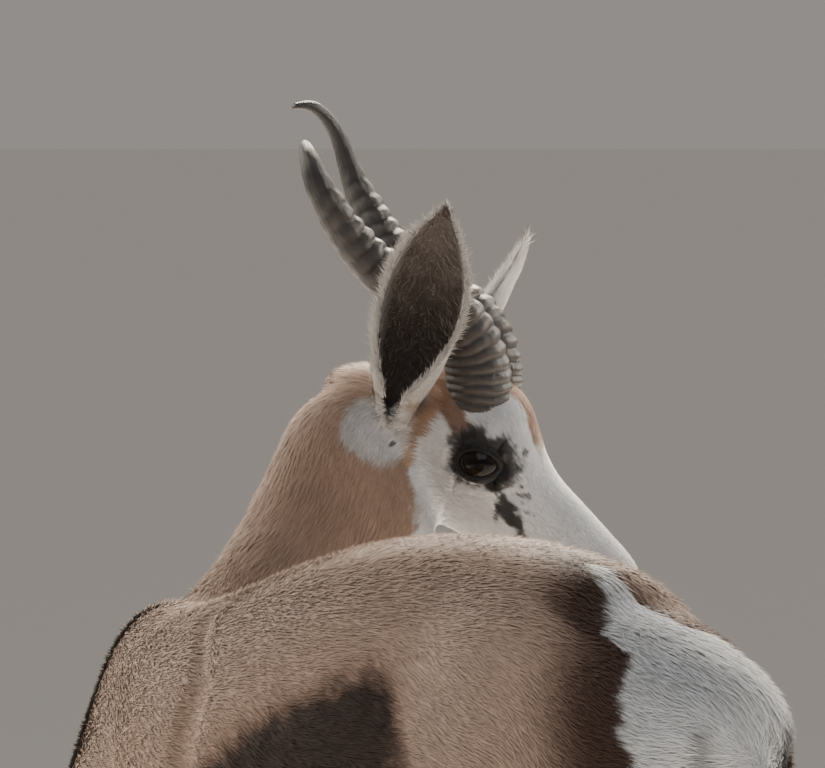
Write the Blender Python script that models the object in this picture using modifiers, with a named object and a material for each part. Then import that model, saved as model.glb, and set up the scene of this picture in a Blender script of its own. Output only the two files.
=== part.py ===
"""A springbok ram standing at life size, looking back over its right side.

Metres, +Z up. The ram faces -Y and stands with its hooves on z = 0. Its left side is at +X.
The body is lofted, fused into one closed skin, and then parted by thin cuts into named pieces.
"""

import math

import bmesh
import bpy
import numpy as np
from mathutils import Matrix, Vector

# Carries the ram, built about its withers, to the middle of its own bounding box.
FRAME_SHIFT = (0.1376, 0.0282, 0.0)

# Driving dimensions of the trunk and legs.
GAP = 0.0003
WITHERS_HEIGHT = 0.790
CROUP_HEIGHT = 0.858
BUTTOCK_Y = 0.366
BRISKET_Y = -0.425
FORE_HOOF_X = 0.066
HIND_HOOF_X = 0.083
CORONET_HEIGHT = 0.036
CORONET_TILT = math.radians(16)
CLAW_LENGTH = 0.056
CLAW_WIDTH = 0.0205

# The head's frame: its origin is on the forehead in front of the horns.
HEAD_ORIGIN = (-0.336, -0.306, 0.942)
HEAD_TURN = math.radians(136.0)
HEAD_NOD = math.radians(54.5)
HEAD_ROLL = math.radians(5.0)

# Eyes, in the head's frame, with the slit between the lids rising towards the nose.
EYE_CENTRE = (0.0254, 0.0345, -0.0550)
EYE_RADIUS = 0.0180
LID_THICKNESS = 0.0022
SLIT_LENGTH = 0.0345
SLIT_HEIGHT = 0.0215
SLIT_RISE = math.radians(45)

# Ears: root and tip in the head's frame, the way the cup opens, and its sizes.
EAR_ROOT = (-0.0505, 0.0440, -0.0790)
RIGHT_EAR_TIP = (-0.1485, -0.1240, 0.0570)
LEFT_EAR_TIP = (-0.1001, 0.1180, 0.0491)
RIGHT_EAR_FACING = (0.10, -0.95, -0.30)
LEFT_EAR_FACING = (-0.935, -0.115, -0.296)
EAR_WALL = 0.0032

# Horns: axis points in the head's frame and the radius at each.
RIGHT_HORN = (
    (-0.0080, -0.0220, -0.0420, 0.0240),
    (-0.0247, -0.0235, -0.0236, 0.0255),
    (-0.0423, -0.0255, -0.0134, 0.0250),
    (-0.0608, -0.0285, -0.0070, 0.0240),
    (-0.0800, -0.0320, -0.0068, 0.0230),
    (-0.0997, -0.0370, -0.0127, 0.0218),
    (-0.1180, -0.0430, -0.0203, 0.0205),
    (-0.1379, -0.0500, -0.0275, 0.0190),
    (-0.1618, -0.0580, -0.0306, 0.0168),
    (-0.1906, -0.0670, -0.0300, 0.0140),
    (-0.2080, -0.0710, -0.0271, 0.0125),
    (-0.2254, -0.0720, -0.0249, 0.0108),
    (-0.2411, -0.0680, -0.0211, 0.0085),
    (-0.2531, -0.0560, -0.0199, 0.0058),
    (-0.2581, -0.0420, -0.0213, 0.0030),
)
LEFT_HORN = (
    (-0.0080, 0.0220, -0.0420, 0.0240),
    (-0.0237, 0.0235, -0.0231, 0.0255),
    (-0.0409, 0.0255, -0.0130, 0.0250),
    (-0.0596, 0.0285, -0.0078, 0.0240),
    (-0.0789, 0.0320, -0.0091, 0.0230),
    (-0.0984, 0.0370, -0.0163, 0.0218),
    (-0.1177, 0.0430, -0.0259, 0.0205),
    (-0.1387, 0.0500, -0.0315, 0.0185),
    (-0.1615, 0.0580, -0.0331, 0.0160),
    (-0.1836, 0.0660, -0.0323, 0.0140),
    (-0.2070, 0.0730, -0.0305, 0.0115),
    (-0.2278, 0.0760, -0.0257, 0.0088),
    (-0.2498, 0.0740, -0.0190, 0.0068),
    (-0.2675, 0.0680, -0.0164, 0.0056),
    (-0.2825, 0.0580, -0.0188, 0.0046),
    (-0.2903, 0.0460, -0.0279, 0.0026),
)
HORN_RINGS = 23
RING_HEIGHT = 0.0021
HORN_REACH = 0.245

# Sizes of the meshes.
BODY_VOXEL = 0.0075
SKIN_VOXEL = 0.0036
BODY_TRIANGLES = 4000
HEAD_TRIANGLES = 2400

COAT_FAWN = (0.46, 0.28, 0.17)
COAT_WHITE = (0.80, 0.78, 0.75)
EAR_COLOUR = (0.30, 0.22, 0.17)
HORN_COLOUR = (0.10, 0.085, 0.075)
HOOF_COLOUR = (0.035, 0.03, 0.028)
EYE_COLOUR = (0.012, 0.009, 0.007)
SEED = 7


def clear_scene():
    """Removes every object that the file opened with."""
    for item in list(bpy.data.objects):
        bpy.data.objects.remove(item)


def new_object(name, verts, faces):
    """Puts points and faces into a new mesh object in the scene."""
    mesh = bpy.data.meshes.new(name)
    mesh.from_pydata([tuple(map(float, v)) for v in verts], [], faces)
    mesh.update()
    item = bpy.data.objects.new(name, mesh)
    bpy.context.scene.collection.objects.link(item)
    return item


def catmull_rom(rows, steps):
    """Reads a smooth curve through the rows of a table, with `steps` samples to each span."""
    rows = np.asarray(rows, float)
    padded = np.vstack([2 * rows[0] - rows[1], rows, 2 * rows[-1] - rows[-2]])
    t = np.arange(steps)[:, None] / steps
    spans = []
    for i in range(len(rows) - 1):
        a, b, c, d = padded[i:i + 4]
        spans.append(0.5 * (2 * b + (c - a) * t + (2 * a - 5 * b + 4 * c - d) * t ** 2
                            + (3 * b - a - 3 * c + d) * t ** 3))
    return np.vstack(spans + [rows[-1:]])


def superellipse(count, power):
    """Points of a unit superellipse, counter-clockwise from its right-hand side."""
    angle = np.linspace(0, 2 * math.pi, count, endpoint=False)
    c, s = np.cos(angle), np.sin(angle)
    return np.sign(c) * np.abs(c) ** (2 / power), np.sign(s) * np.abs(s) ** (2 / power)


def ring_frames(centres, dorsal):
    """Side and dorsal directions of each ring, square to the path."""
    along = np.gradient(centres, axis=0)
    along /= np.linalg.norm(along, axis=1)[:, None]
    up = dorsal - along * (dorsal * along).sum(1)[:, None]
    up /= np.linalg.norm(up, axis=1)[:, None]
    return np.cross(up, along), up


def skin_rings(name, rings):
    """A closed mesh through rings of equally many points, with a fan at each end."""
    count, around = rings.shape[:2]
    verts = np.vstack([rings.reshape(-1, 3), rings[0].mean(0), rings[-1].mean(0)])
    first, last = count * around, count * around + 1
    faces = []
    for i in range(count - 1):
        for j in range(around):
            k = (j + 1) % around
            faces.append((i * around + j, i * around + k, (i + 1) * around + k, (i + 1) * around + j))
    for j in range(around):
        k = (j + 1) % around
        faces.append((first, k, j))
        faces.append((last, (count - 1) * around + j, (count - 1) * around + k))
    item = new_object(name, verts, faces)
    recalculate(item)
    return item


def recalculate(item):
    """Turns all faces of a closed mesh outwards."""
    work = bmesh.new()
    work.from_mesh(item.data)
    bmesh.ops.recalc_face_normals(work, faces=work.faces)
    work.to_mesh(item.data)
    work.free()


def loft(name, stations, steps=5, around=28, power=2.0):
    """A limb or trunk: each station is (centre, half width, dorsal reach, ventral reach, dorsal way)."""
    table = [[*centre, wide, up, down, *way] for centre, wide, up, down, way in stations]
    rows = catmull_rom(table, steps)
    centres = rows[:, :3]
    wide, up, down = (rows[:, k:k + 1] for k in (3, 4, 5))
    side, top = ring_frames(centres, rows[:, 6:9])
    x, y = superellipse(around, power)
    reach = np.where(y[None] > 0, up, down) * y[None]
    rings = centres[:, None] + side[:, None] * (wide * x[None])[..., None] + top[:, None] * reach[..., None]
    return skin_rings(name, rings)


def apply_modifier(item, kind, **settings):
    """Adds a modifier with these settings and applies it."""
    modifier = item.modifiers.new(kind.title(), kind)
    for key, value in settings.items():
        setattr(modifier, key, value)
    depsgraph = bpy.context.evaluated_depsgraph_get()
    mesh = bpy.data.meshes.new_from_object(item.evaluated_get(depsgraph))
    item.modifiers.clear()
    old = item.data
    item.data = mesh
    bpy.data.meshes.remove(old)
    return item


def join(name, items):
    """Copies the faces of several objects into one, and removes them."""
    work = bmesh.new()
    for item in items:
        work.from_mesh(item.data)
        bpy.data.objects.remove(item)
    mesh = bpy.data.meshes.new(name)
    work.to_mesh(mesh)
    work.free()
    whole = bpy.data.objects.new(name, mesh)
    bpy.context.scene.collection.objects.link(whole)
    return whole


def boolean(item, other, operation, solver="EXACT"):
    """Joins, cuts or intersects the item with another closed mesh, which is removed."""
    apply_modifier(item, "BOOLEAN", object=other, operation=operation, solver=solver)
    bpy.data.objects.remove(other)
    return item


def largest_part(item):
    """Keeps only the largest closed surface of a mesh."""
    work = bmesh.new()
    work.from_mesh(item.data)
    groups, seen = [], set()
    for seed in work.verts:
        if seed in seen:
            continue
        stack, group = [seed], []
        seen.add(seed)
        while stack:
            vert = stack.pop()
            group.append(vert)
            for edge in vert.link_edges:
                other = edge.other_vert(vert)
                if other not in seen:
                    seen.add(other)
                    stack.append(other)
        groups.append(group)
    groups.sort(key=len)
    loose = [vert for group in groups[:-1] for vert in group]
    bmesh.ops.delete(work, geom=loose, context="VERTS")
    work.to_mesh(item.data)
    work.free()
    return item


def ramp(value, low, high):
    """0 below low, 1 above high, and a smooth rise between them."""
    t = min(1.0, max(0.0, (value - low) / (high - low)))
    return t * t * (3 - 2 * t)


UP = (0, 0, 1)
FORE = (0, -1, 0)

# Trunk stations from the buttocks to the brisket: y, topline, widest level, underline, half width.
TRUNK = (
    (BUTTOCK_Y, 0.704, 0.668, 0.618, 0.024),
    (0.353, 0.744, 0.684, 0.588, 0.056),
    (0.334, 0.780, 0.694, 0.562, 0.079),
    (0.302, 0.8085, 0.692, 0.548, 0.095),
    (0.250, 0.8330, 0.682, 0.540, 0.106),
    (0.180, 0.8495, 0.680, 0.536, 0.114),
    (0.100, CROUP_HEIGHT, 0.678, 0.522, 0.120),
    (0.000, 0.854, 0.668, 0.488, 0.130),
    (-0.100, 0.832, 0.650, 0.460, 0.132),
    (-0.190, 0.806, 0.635, 0.450, 0.118),
    (-0.260, 0.792, 0.622, 0.450, 0.097),
    (-0.320, WITHERS_HEIGHT, 0.615, 0.464, 0.073),
    (-0.365, 0.762, 0.612, 0.492, 0.063),
    (-0.403, 0.715, 0.615, 0.535, 0.050),
    (BRISKET_Y, 0.665, 0.620, 0.580, 0.022),
)

# Hind leg from hip to coronet: y, z, x, half width, reach forward, reach back.
HIND_LEG = (
    (0.235, 0.745, 0.048, 0.034, 0.080, 0.078),
    (0.237, 0.690, 0.060, 0.048, 0.105, 0.112),
    (0.232, 0.610, 0.071, 0.050, 0.108, 0.122),
    (0.222, 0.530, 0.079, 0.046, 0.090, 0.116),
    (0.230, 0.465, 0.083, 0.038, 0.062, 0.078),
    (0.266, 0.405, 0.085, 0.028, 0.038, 0.046),
    (0.318, 0.352, 0.085, 0.0195, 0.023, 0.028),
    (0.343, 0.318, 0.084, 0.0195, 0.022, 0.027),
    (0.340, 0.275, 0.083, 0.0155, 0.0165, 0.0190),
    (0.322, 0.190, 0.083, 0.0122, 0.0130, 0.0155),
    (0.309, 0.122, 0.083, 0.0128, 0.0135, 0.0160),
    (0.302, 0.095, 0.083, 0.0170, 0.0165, 0.0195),
    (0.289, 0.065, 0.083, 0.0160, 0.0150, 0.0170),
    (0.276, 0.040, 0.083, 0.0200, 0.0200, 0.0200),
    (0.266, 0.016, 0.083, 0.0200, 0.0200, 0.0200),
)

# Foreleg from shoulder blade to coronet, in the same columns.
FORE_LEG = (
    (-0.270, 0.740, 0.034, 0.020, 0.045, 0.050),
    (-0.288, 0.680, 0.050, 0.031, 0.066, 0.070),
    (-0.308, 0.610, 0.064, 0.034, 0.076, 0.078),
    (-0.298, 0.540, 0.070, 0.033, 0.064, 0.074),
    (-0.275, 0.475, 0.071, 0.028, 0.042, 0.052),
    (-0.276, 0.410, 0.070, 0.023, 0.029, 0.034),
    (-0.283, 0.335, 0.068, 0.0180, 0.0205, 0.0230),
    (-0.287, 0.272, 0.067, 0.0190, 0.0195, 0.0205),
    (-0.284, 0.235, 0.066, 0.0150, 0.0152, 0.0168),
    (-0.284, 0.165, 0.066, 0.0118, 0.0122, 0.0140),
    (-0.286, 0.115, 0.066, 0.0125, 0.0125, 0.0155),
    (-0.289, 0.092, 0.066, 0.0160, 0.0155, 0.0190),
    (-0.302, 0.065, 0.066, 0.0150, 0.0145, 0.0165),
    (-0.315, 0.040, 0.066, 0.0195, 0.0200, 0.0195),
    (-0.325, 0.016, 0.066, 0.0195, 0.0200, 0.0195),
)

# Neck from inside the chest to the skull: centre, half width, nape reach, throat reach, nape way.
NECK = (
    ((-0.004, -0.270, 0.655), 0.058, 0.105, 0.110, (0.00, 0.35, 0.94)),
    ((-0.030, -0.325, 0.680), 0.058, 0.092, 0.112, (0.20, 0.20, 0.94)),
    ((-0.085, -0.368, 0.712), 0.055, 0.078, 0.102, (0.45, -0.15, 0.85)),
    ((-0.148, -0.388, 0.757), 0.052, 0.070, 0.090, (0.70, -0.40, 0.55)),
    ((-0.195, -0.393, 0.812), 0.049, 0.067, 0.086, (0.80, -0.55, 0.25)),
    ((-0.217, -0.392, 0.860), 0.046, 0.063, 0.084, (0.80, -0.58, 0.20)),
    ((-0.232, -0.392, 0.900), 0.044, 0.055, 0.062, (0.70, -0.52, 0.35)),
    ((-0.250, -0.390, 0.925), 0.040, 0.040, 0.052, (0.60, -0.45, 0.45)),
    ((-0.268, -0.380, 0.938), 0.028, 0.024, 0.035, (0.60, -0.45, 0.45)),
)

# Tail from inside the croup to its end: centre, half width, reach back, reach forward.
TAIL = (
    ((0.0, 0.290, 0.742), 0.012, 0.012, 0.012, UP),
    ((0.0, 0.342, 0.742), 0.013, 0.013, 0.013, (0, 0.3, 0.95)),
    ((0.0, 0.378, 0.722), 0.0125, 0.012, 0.012, (0, 0.8, 0.6)),
    ((0.0, 0.398, 0.685), 0.0115, 0.0105, 0.0105, (0, 1, 0.3)),
    ((0.0, 0.406, 0.620), 0.0105, 0.0085, 0.0085, (0, 1, 0.05)),
    ((0.0, 0.408, 0.550), 0.0085, 0.0065, 0.0065, (0, 1, 0)),
    ((0.0, 0.408, 0.505), 0.0055, 0.0045, 0.0045, (0, 1, 0)),
)

# Head sections along the face from the back of the skull to the nose, in the head's frame:
# x, dorsal line, ventral line, widest level, half width, boxiness.
HEAD = (
    (-0.100, -0.104, -0.122, -0.112, 0.010, 2.0),
    (-0.090, -0.082, -0.132, -0.106, 0.026, 2.0),
    (-0.070, -0.055, -0.138, -0.094, 0.038, 2.1),
    (-0.045, -0.034, -0.138, -0.082, 0.043, 2.2),
    (-0.020, -0.009, -0.133, -0.070, 0.045, 2.3),
    (0.005, -0.003, -0.128, -0.060, 0.046, 2.4),
    (0.028, -0.009, -0.122, -0.056, 0.0445, 2.4),
    (0.050, -0.0165, -0.115, -0.055, 0.0400, 2.3),
    (0.072, -0.019, -0.104, -0.055, 0.0335, 2.3),
    (0.095, -0.0165, -0.093, -0.052, 0.0285, 2.3),
    (0.118, -0.0140, -0.083, -0.047, 0.0250, 2.3),
    (0.138, -0.0115, -0.075, -0.043, 0.0235, 2.3),
    (0.154, -0.0100, -0.071, -0.041, 0.0240, 2.3),
    (0.167, -0.0120, -0.067, -0.040, 0.0230, 2.3),
    (0.177, -0.0200, -0.060, -0.040, 0.0185, 2.2),
    (0.182, -0.0290, -0.052, -0.040, 0.0100, 2.0),
)


def head_matrix():
    """The head's frame: x along the face to the nose, y to the ram's left, z out of the forehead."""
    turn = Matrix.Rotation(HEAD_TURN, 4, "Z")
    nod = Matrix.Rotation(HEAD_NOD, 4, "Y")
    roll = Matrix.Rotation(HEAD_ROLL, 4, "X")
    return Matrix.Translation(HEAD_ORIGIN) @ turn @ nod @ roll


def in_head(item):
    """Carries an object built in the head's frame to its place."""
    item.data.transform(head_matrix())
    return item


def trunk():
    """The trunk as one loft from the buttocks to the brisket."""
    stations = [((0, y, level), wide, top - level, level - under, UP)
                for y, top, level, under, wide in TRUNK]
    return loft("trunk", stations, steps=4, around=32, power=2.1)


def leg(name, table, side):
    """A leg, on the left for side 1 and on the right for side -1."""
    stations = [((side * x, y, z), wide, fore, back, FORE) for y, z, x, wide, fore, back in table]
    return loft(name, stations, steps=5, around=24)


def neck():
    """The neck, bent round from the chest to the back of the skull."""
    return loft("neck", NECK, steps=6, around=28)


def tail_stem():
    """The stem of the tail, from inside the croup to its end."""
    return loft("tail_stem", TAIL, steps=5, around=14)


def head_blank():
    """The skull with its cheeks and muzzle, as a loft along the face."""
    rings = []
    for x, top, under, level, wide, power in catmull_rom(HEAD, 5):
        across, height = superellipse(32, power)
        z = level + np.where(height > 0, (top - level) * height, (level - under) * height)
        narrow = 1 - 0.45 * np.clip(-height, 0, 1) ** 1.5
        rings.append(np.stack([np.full(32, x), across * wide * narrow, z], axis=1))
    return in_head(skin_rings("head_blank", np.array(rings)))


def ellipsoid(name, centre, radii, turn=None, segments=24):
    """A sphere stretched to three radii."""
    bpy.ops.mesh.primitive_uv_sphere_add(segments=segments, ring_count=segments // 2)
    item = bpy.context.object
    item.name = name
    place = Matrix.Translation(centre) @ (turn or Matrix.Identity(4)) @ Matrix.Diagonal((*radii, 1))
    item.data.transform(place)
    return item


def eye_centre(side):
    """The centre of an eye in the head's frame."""
    return Vector((EYE_CENTRE[0], side * EYE_CENTRE[1], EYE_CENTRE[2]))


def brows():
    """The rims of the eye sockets and the lids, before the slit is cut."""
    items = []
    for side in (1, -1):
        centre = eye_centre(side)
        items.append(in_head(ellipsoid("brow", centre - Vector((0, side * 0.004, 0)), (0.031, 0.020, 0.027))))
        items.append(in_head(ellipsoid("lid", centre, (EYE_RADIUS + LID_THICKNESS,) * 3)))
    return items


def slit_cutter(side):
    """An almond-shaped bar through the lids, from the middle of the eye outwards."""
    count = 24
    angle = np.linspace(0, 2 * math.pi, count, endpoint=False)
    along = 0.5 * SLIT_LENGTH * np.cos(angle)
    height = 0.5 * SLIT_HEIGHT * np.sign(np.sin(angle)) * np.abs(np.sin(angle)) ** 1.25
    cos, sin = math.cos(SLIT_RISE), math.sin(SLIT_RISE)
    centre = eye_centre(side)
    rings = []
    for out in (0.002, 0.040):
        ring = [(centre.x + a * cos - h * sin, centre.y + side * out, centre.z + a * sin + h * cos)
                for a, h in zip(along, height)]
        rings.append(ring)
    return in_head(skin_rings("slit", np.array(rings)))


def ear_axis(side):
    """Root, unit axis, front and sideways directions, and length of an ear in the head's frame."""
    tip, facing = (LEFT_EAR_TIP, LEFT_EAR_FACING) if side > 0 else (RIGHT_EAR_TIP, RIGHT_EAR_FACING)
    root = Vector((EAR_ROOT[0], side * EAR_ROOT[1], EAR_ROOT[2]))
    axis = Vector(tip) - root
    length = axis.length
    axis.normalize()
    front = Vector(facing)
    front = (front - axis * front.dot(axis)).normalized()
    return root, axis, front, front.cross(axis), length


def ear(side, grow=0.0, last=1.0):
    """An ear: a pointed leaf with a hollow cup. Grown and cut short, it is the room for its root."""
    root, axis, front, across, length = ear_axis(side)
    t = np.array([-0.08, 0.0, 0.07, 0.14, 0.22, 0.31, 0.40, 0.50, 0.60, 0.70, 0.79, 0.87, 0.93, 0.98])
    t = t[t <= last]
    if grow:
        t[0] -= grow / length
    wide = grow + np.interp(t, (-0.1, 0.0, 0.14, 0.31, 0.5, 0.7, 0.87, 1.0),
                            (0.012, 0.0175, 0.0250, 0.0315, 0.0350, 0.0300, 0.0170, 0.002))
    deep = grow + np.interp(t, (-0.1, 0.0, 0.14, 0.31, 0.6, 0.87, 1.0),
                            (0.010, 0.014, 0.020, 0.022, 0.016, 0.008, 0.003))
    if side > 0:
        # The left ear is rolled tighter above its root, beside the horn.
        wide = wide * np.interp(t, (0.05, 0.30, 0.62), (1.0, 0.74, 1.0))
    hollow = np.interp(t, (0.16, 0.26, 0.40), (0.0, 0.75, 1.0)) * (grow == 0.0)
    s = np.linspace(-math.pi / 2, math.pi / 2, 9)
    rings = []
    for k in range(len(t)):
        back = [(wide[k] * math.sin(a), -deep[k] * math.cos(a)) for a in s]
        inner = wide[k] - 0.6 * EAR_WALL * hollow[k]
        depth = hollow[k] * (deep[k] - min(EAR_WALL, 0.6 * deep[k])) - (1 - hollow[k]) * 0.7 * deep[k]
        inside = [(inner * math.sin(a), -depth * math.cos(a) + 0.0004) for a in s[-2:0:-1]]
        lean = 0.010 * math.sin(math.pi * max(0.0, t[k]))
        place = root + axis * (t[k] * length) + front * (0.5 * deep[k] - lean)
        rings.append([tuple(place + across * x + front * z) for x, z in back + inside])
    return in_head(skin_rings("ear", np.array(rings)))


def horn(path, grow=0.0):
    """A horn: raised rings that fade towards a smooth hooked tip. Grown, it is the room for its root."""
    if grow:
        path = [(x, y, z, r + grow) for x, y, z, r in path[:5]]
        path[0] = (path[0][0] + grow, path[0][1], path[0][2] - grow, path[0][3])
    rows = catmull_rom(path, 6)
    centres = rows[:, :3]
    steps = np.linalg.norm(np.diff(centres, axis=0), axis=1)
    reach = np.concatenate([[0], np.cumsum(steps)])
    whole = reach[-1]
    # Rings lie closer together near the base.
    pitch = np.linspace(0, 1, HORN_RINGS * 3 + 1)
    ringed = HORN_REACH * (0.62 * pitch + 0.38 * pitch ** 2)
    smooth = np.linspace(ringed[-1], whole, 9)[1:]
    at = np.concatenate([ringed, smooth])
    ridge = np.concatenate([np.tile([0.0, 1.0, 0.55], HORN_RINGS), np.zeros(9)])
    keep = at <= whole + 1e-9
    at, ridge = at[keep], ridge[keep]
    fade = np.interp(at, (0, 0.04, 0.15, HORN_REACH, 0.33), (1.0, 1.0, 0.85, 0.35, 0.0))
    centre = np.stack([np.interp(at, reach, centres[:, k]) for k in range(3)], axis=1)
    radius = np.interp(at, reach, rows[:, 3])
    side, fore = ring_frames(centre, np.tile([0.25, 0.0, 1.0], (len(at), 1)))
    angle = np.linspace(0, 2 * math.pi, 10, endpoint=False)
    front = 0.55 + 0.45 * np.sin(angle)
    swell = 1 + (RING_HEIGHT * (ridge * fade)[:, None] * front[None]) / radius[:, None]
    flat = np.interp(at, (0, 0.15, 0.30), (0.80, 0.88, 1.0))
    size = radius[:, None] * swell
    rings = (centre[:, None] + side[:, None] * (size * flat[:, None] * np.cos(angle))[..., None]
             + fore[:, None] * (size * np.sin(angle))[..., None])
    return in_head(skin_rings("horn", rings))


def claw(name, x, y, inner):
    """One claw of a cloven hoof: flat sole, pointed toe, and a sloping top below the coronet."""
    count = 12
    angle = np.linspace(0, 2 * math.pi, count, endpoint=False)
    rings = []
    for rise, length, width, shift in ((0.0, 1.0, 1.0, 0.0), (0.25, 0.97, 1.0, 0.001), (0.62, 0.84, 0.95, 0.004),
                                       (1.0, 0.70, 0.86, 0.008)):
        toe = 0.5 * CLAW_LENGTH * length * np.cos(angle)
        # The outline narrows to a point at the toe, which is at -Y.
        pinch = 1 - 0.62 * np.clip(np.cos(angle), 0, 1) ** 2
        wide = 0.5 * CLAW_WIDTH * width * np.sin(angle) * pinch
        wide = np.where(wide * inner > 0, wide * 0.82, wide)
        py = y - toe + shift
        top = CORONET_HEIGHT - GAP - (py - y) * math.tan(CORONET_TILT)
        rings.append(np.stack([x + wide, py, rise * top], axis=1))
    return skin_rings(name, np.array(rings))


def plate(name, centre, normal, radius):
    """A thin round cutter that parts the skin at one place."""
    bpy.ops.mesh.primitive_cylinder_add(vertices=32, radius=radius, depth=GAP)
    item = bpy.context.object
    item.name = name
    turn = Vector(normal).to_track_quat("Z", "Y").to_matrix().to_4x4()
    item.data.transform(Matrix.Translation(centre) @ turn)
    return item


def head_point(x, y, z):
    """A point of the head's frame in the model's frame."""
    return head_matrix() @ Vector((x, y, z))


def foot_cutter(x, y):
    """A wedge that cuts a leg off flat along its coronet."""
    bpy.ops.mesh.primitive_cube_add(size=1)
    item = bpy.context.object
    item.name = "foot_cutter"
    turn = Matrix.Rotation(-CORONET_TILT, 4, "X")
    place = Matrix.Translation((x, y, CORONET_HEIGHT)) @ turn @ Matrix.Translation((0, 0, -0.04))
    item.data.transform(place @ Matrix.Diagonal((0.09, 0.13, 0.08, 1)))
    return item


def dewclaws(x, y, z):
    """The two small claws behind a fetlock."""
    return [ellipsoid("dewclaw", (x + dx, y, z), (0.006, 0.007, 0.011), segments=12) for dx in (-0.010, 0.010)]


def whole_skin():
    """Trunk, neck, legs, tail and head fused into one skin, thinned to its triangle count."""
    soft = [trunk(), neck()]
    legs = []
    for side in (1, -1):
        soft += [leg("hind", HIND_LEG, side), leg("fore", FORE_LEG, side)]
        legs += [leg("hind", HIND_LEG, side), leg("fore", FORE_LEG, side)]
    body = join("body", soft)
    apply_modifier(body, "REMESH", mode="VOXEL", voxel_size=BODY_VOXEL, adaptivity=0.0)
    weigh(body, "soft", lambda co: ramp(co.z, 0.44, 0.60))
    apply_modifier(body, "SMOOTH", factor=0.5, iterations=12, vertex_group="soft")
    apply_modifier(body, "TRIANGULATE")
    items = [body, tail_stem(), head_blank(), *brows()]
    items += [cut_leg(item) for item in legs]
    for side in (1, -1):
        items += dewclaws(side * FORE_HOOF_X, -0.266, 0.082)
        items += dewclaws(side * HIND_HOOF_X, 0.326, 0.084)
    whole = join("skin", items)
    apply_modifier(whole, "REMESH", mode="VOXEL", voxel_size=SKIN_VOXEL, adaptivity=0.0)
    weigh(whole, "soft", lambda co: 1.0 if co.z > 0.5 else 0.35)
    apply_modifier(whole, "SMOOTH", factor=0.5, iterations=4, vertex_group="soft")
    apply_modifier(whole, "TRIANGULATE")
    place = head_matrix().inverted()
    thin_out(whole, lambda co: 1.0 if (place @ co).z < -0.145 or (place @ co).x < -0.12 else 0.0, BODY_TRIANGLES)
    thin_out(whole, lambda co: 0.0 if (place @ co).z < -0.145 or (place @ co).x < -0.12 else 1.0, HEAD_TRIANGLES)
    return largest_part(whole)


def cut_leg(item):
    """Keeps the free part of a leg, below the trunk, at its full thickness."""
    bpy.ops.mesh.primitive_cube_add(size=1)
    box = bpy.context.object
    box.data.transform(Matrix.Translation((0, 0, 0.52 + 0.25)) @ Matrix.Diagonal((1.5, 1.5, 0.5, 1)))
    return boolean(item, box, "DIFFERENCE")


def weigh(item, name, weight):
    """Stores a weight for each vertex, from its place."""
    group = item.vertex_groups.new(name=name)
    for vert in item.data.vertices:
        group.add([vert.index], weight(vert.co), "REPLACE")


def thin_out(item, weight, triangles):
    """Thins the part of a triangle mesh where the weight is 1 down to so many triangles."""
    weigh(item, "thin", weight)
    inside = [weight(vert.co) > 0.5 for vert in item.data.vertices]
    count = sum(all(inside[v] for v in face.vertices) for face in item.data.polygons)
    rest = len(item.data.polygons) - count
    share = (rest + triangles) / len(item.data.polygons)
    apply_modifier(item, "DECIMATE", ratio=min(1.0, share), vertex_group="thin", vertex_group_factor=1.0)
    item.vertex_groups.clear()


def ball(side):
    """An eyeball, in its place."""
    return in_head(ellipsoid("eye", eye_centre(side), (EYE_RADIUS,) * 3, segments=18))


def socket(side):
    """The room around an eyeball."""
    return in_head(ellipsoid("socket", eye_centre(side), (EYE_RADIUS + 2 * GAP,) * 3, segments=18))


def mouth_cutter():
    """A thin curved wedge that parts the lips."""
    count = 12
    t = np.linspace(0, 1, count)
    x = 0.118 + 0.085 * t
    z = -0.0640 + 0.0040 * t + 0.0045 * np.sin(math.pi * t)
    rings = []
    for k in range(count):
        half = 0.0003 + 0.0006 * min(1.0, 3 * t[k])
        rings.append([(x[k], -0.05, z[k] - half), (x[k], 0.05, z[k] - half), (x[k], 0.05, z[k] + half),
                      (x[k], -0.05, z[k] + half)])
    return in_head(skin_rings("mouth", np.array(rings)))


def nostril_cutter(side):
    """A slanting hollow beside the tip of the nose."""
    turn = Matrix.Rotation(math.radians(side * 24), 4, "Z") @ Matrix.Rotation(math.radians(28), 4, "Y")
    return in_head(ellipsoid("nostril", (0.178, side * 0.0185, -0.029), (0.0100, 0.0058, 0.0046), turn, 16))


def parting_plates():
    """The thin cutters between the named pieces."""
    items = [
        plate("cut_neck", (-0.118, -0.378, 0.733), (-0.66, -0.30, 0.69), 0.150),
        plate("cut_head", (-0.217, -0.392, 0.856), (-0.45, 0.10, 0.89), 0.105),
        plate("cut_tail", (0, 0.4040, 0.656), (0, 0.08, -1.00), 0.021),
    ]
    for side in (1, -1):
        items.append(plate("cut_thigh", (side * 0.088, 0.238, 0.470), UP, 0.105))
        items.append(plate("cut_hock", (side * 0.084, 0.343, 0.300), UP, 0.050))
        items.append(plate("cut_forearm", (side * 0.071, -0.276, 0.432), UP, 0.066))
        items.append(plate("cut_knee", (side * 0.067, -0.286, 0.256), UP, 0.050))
    return items


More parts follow.
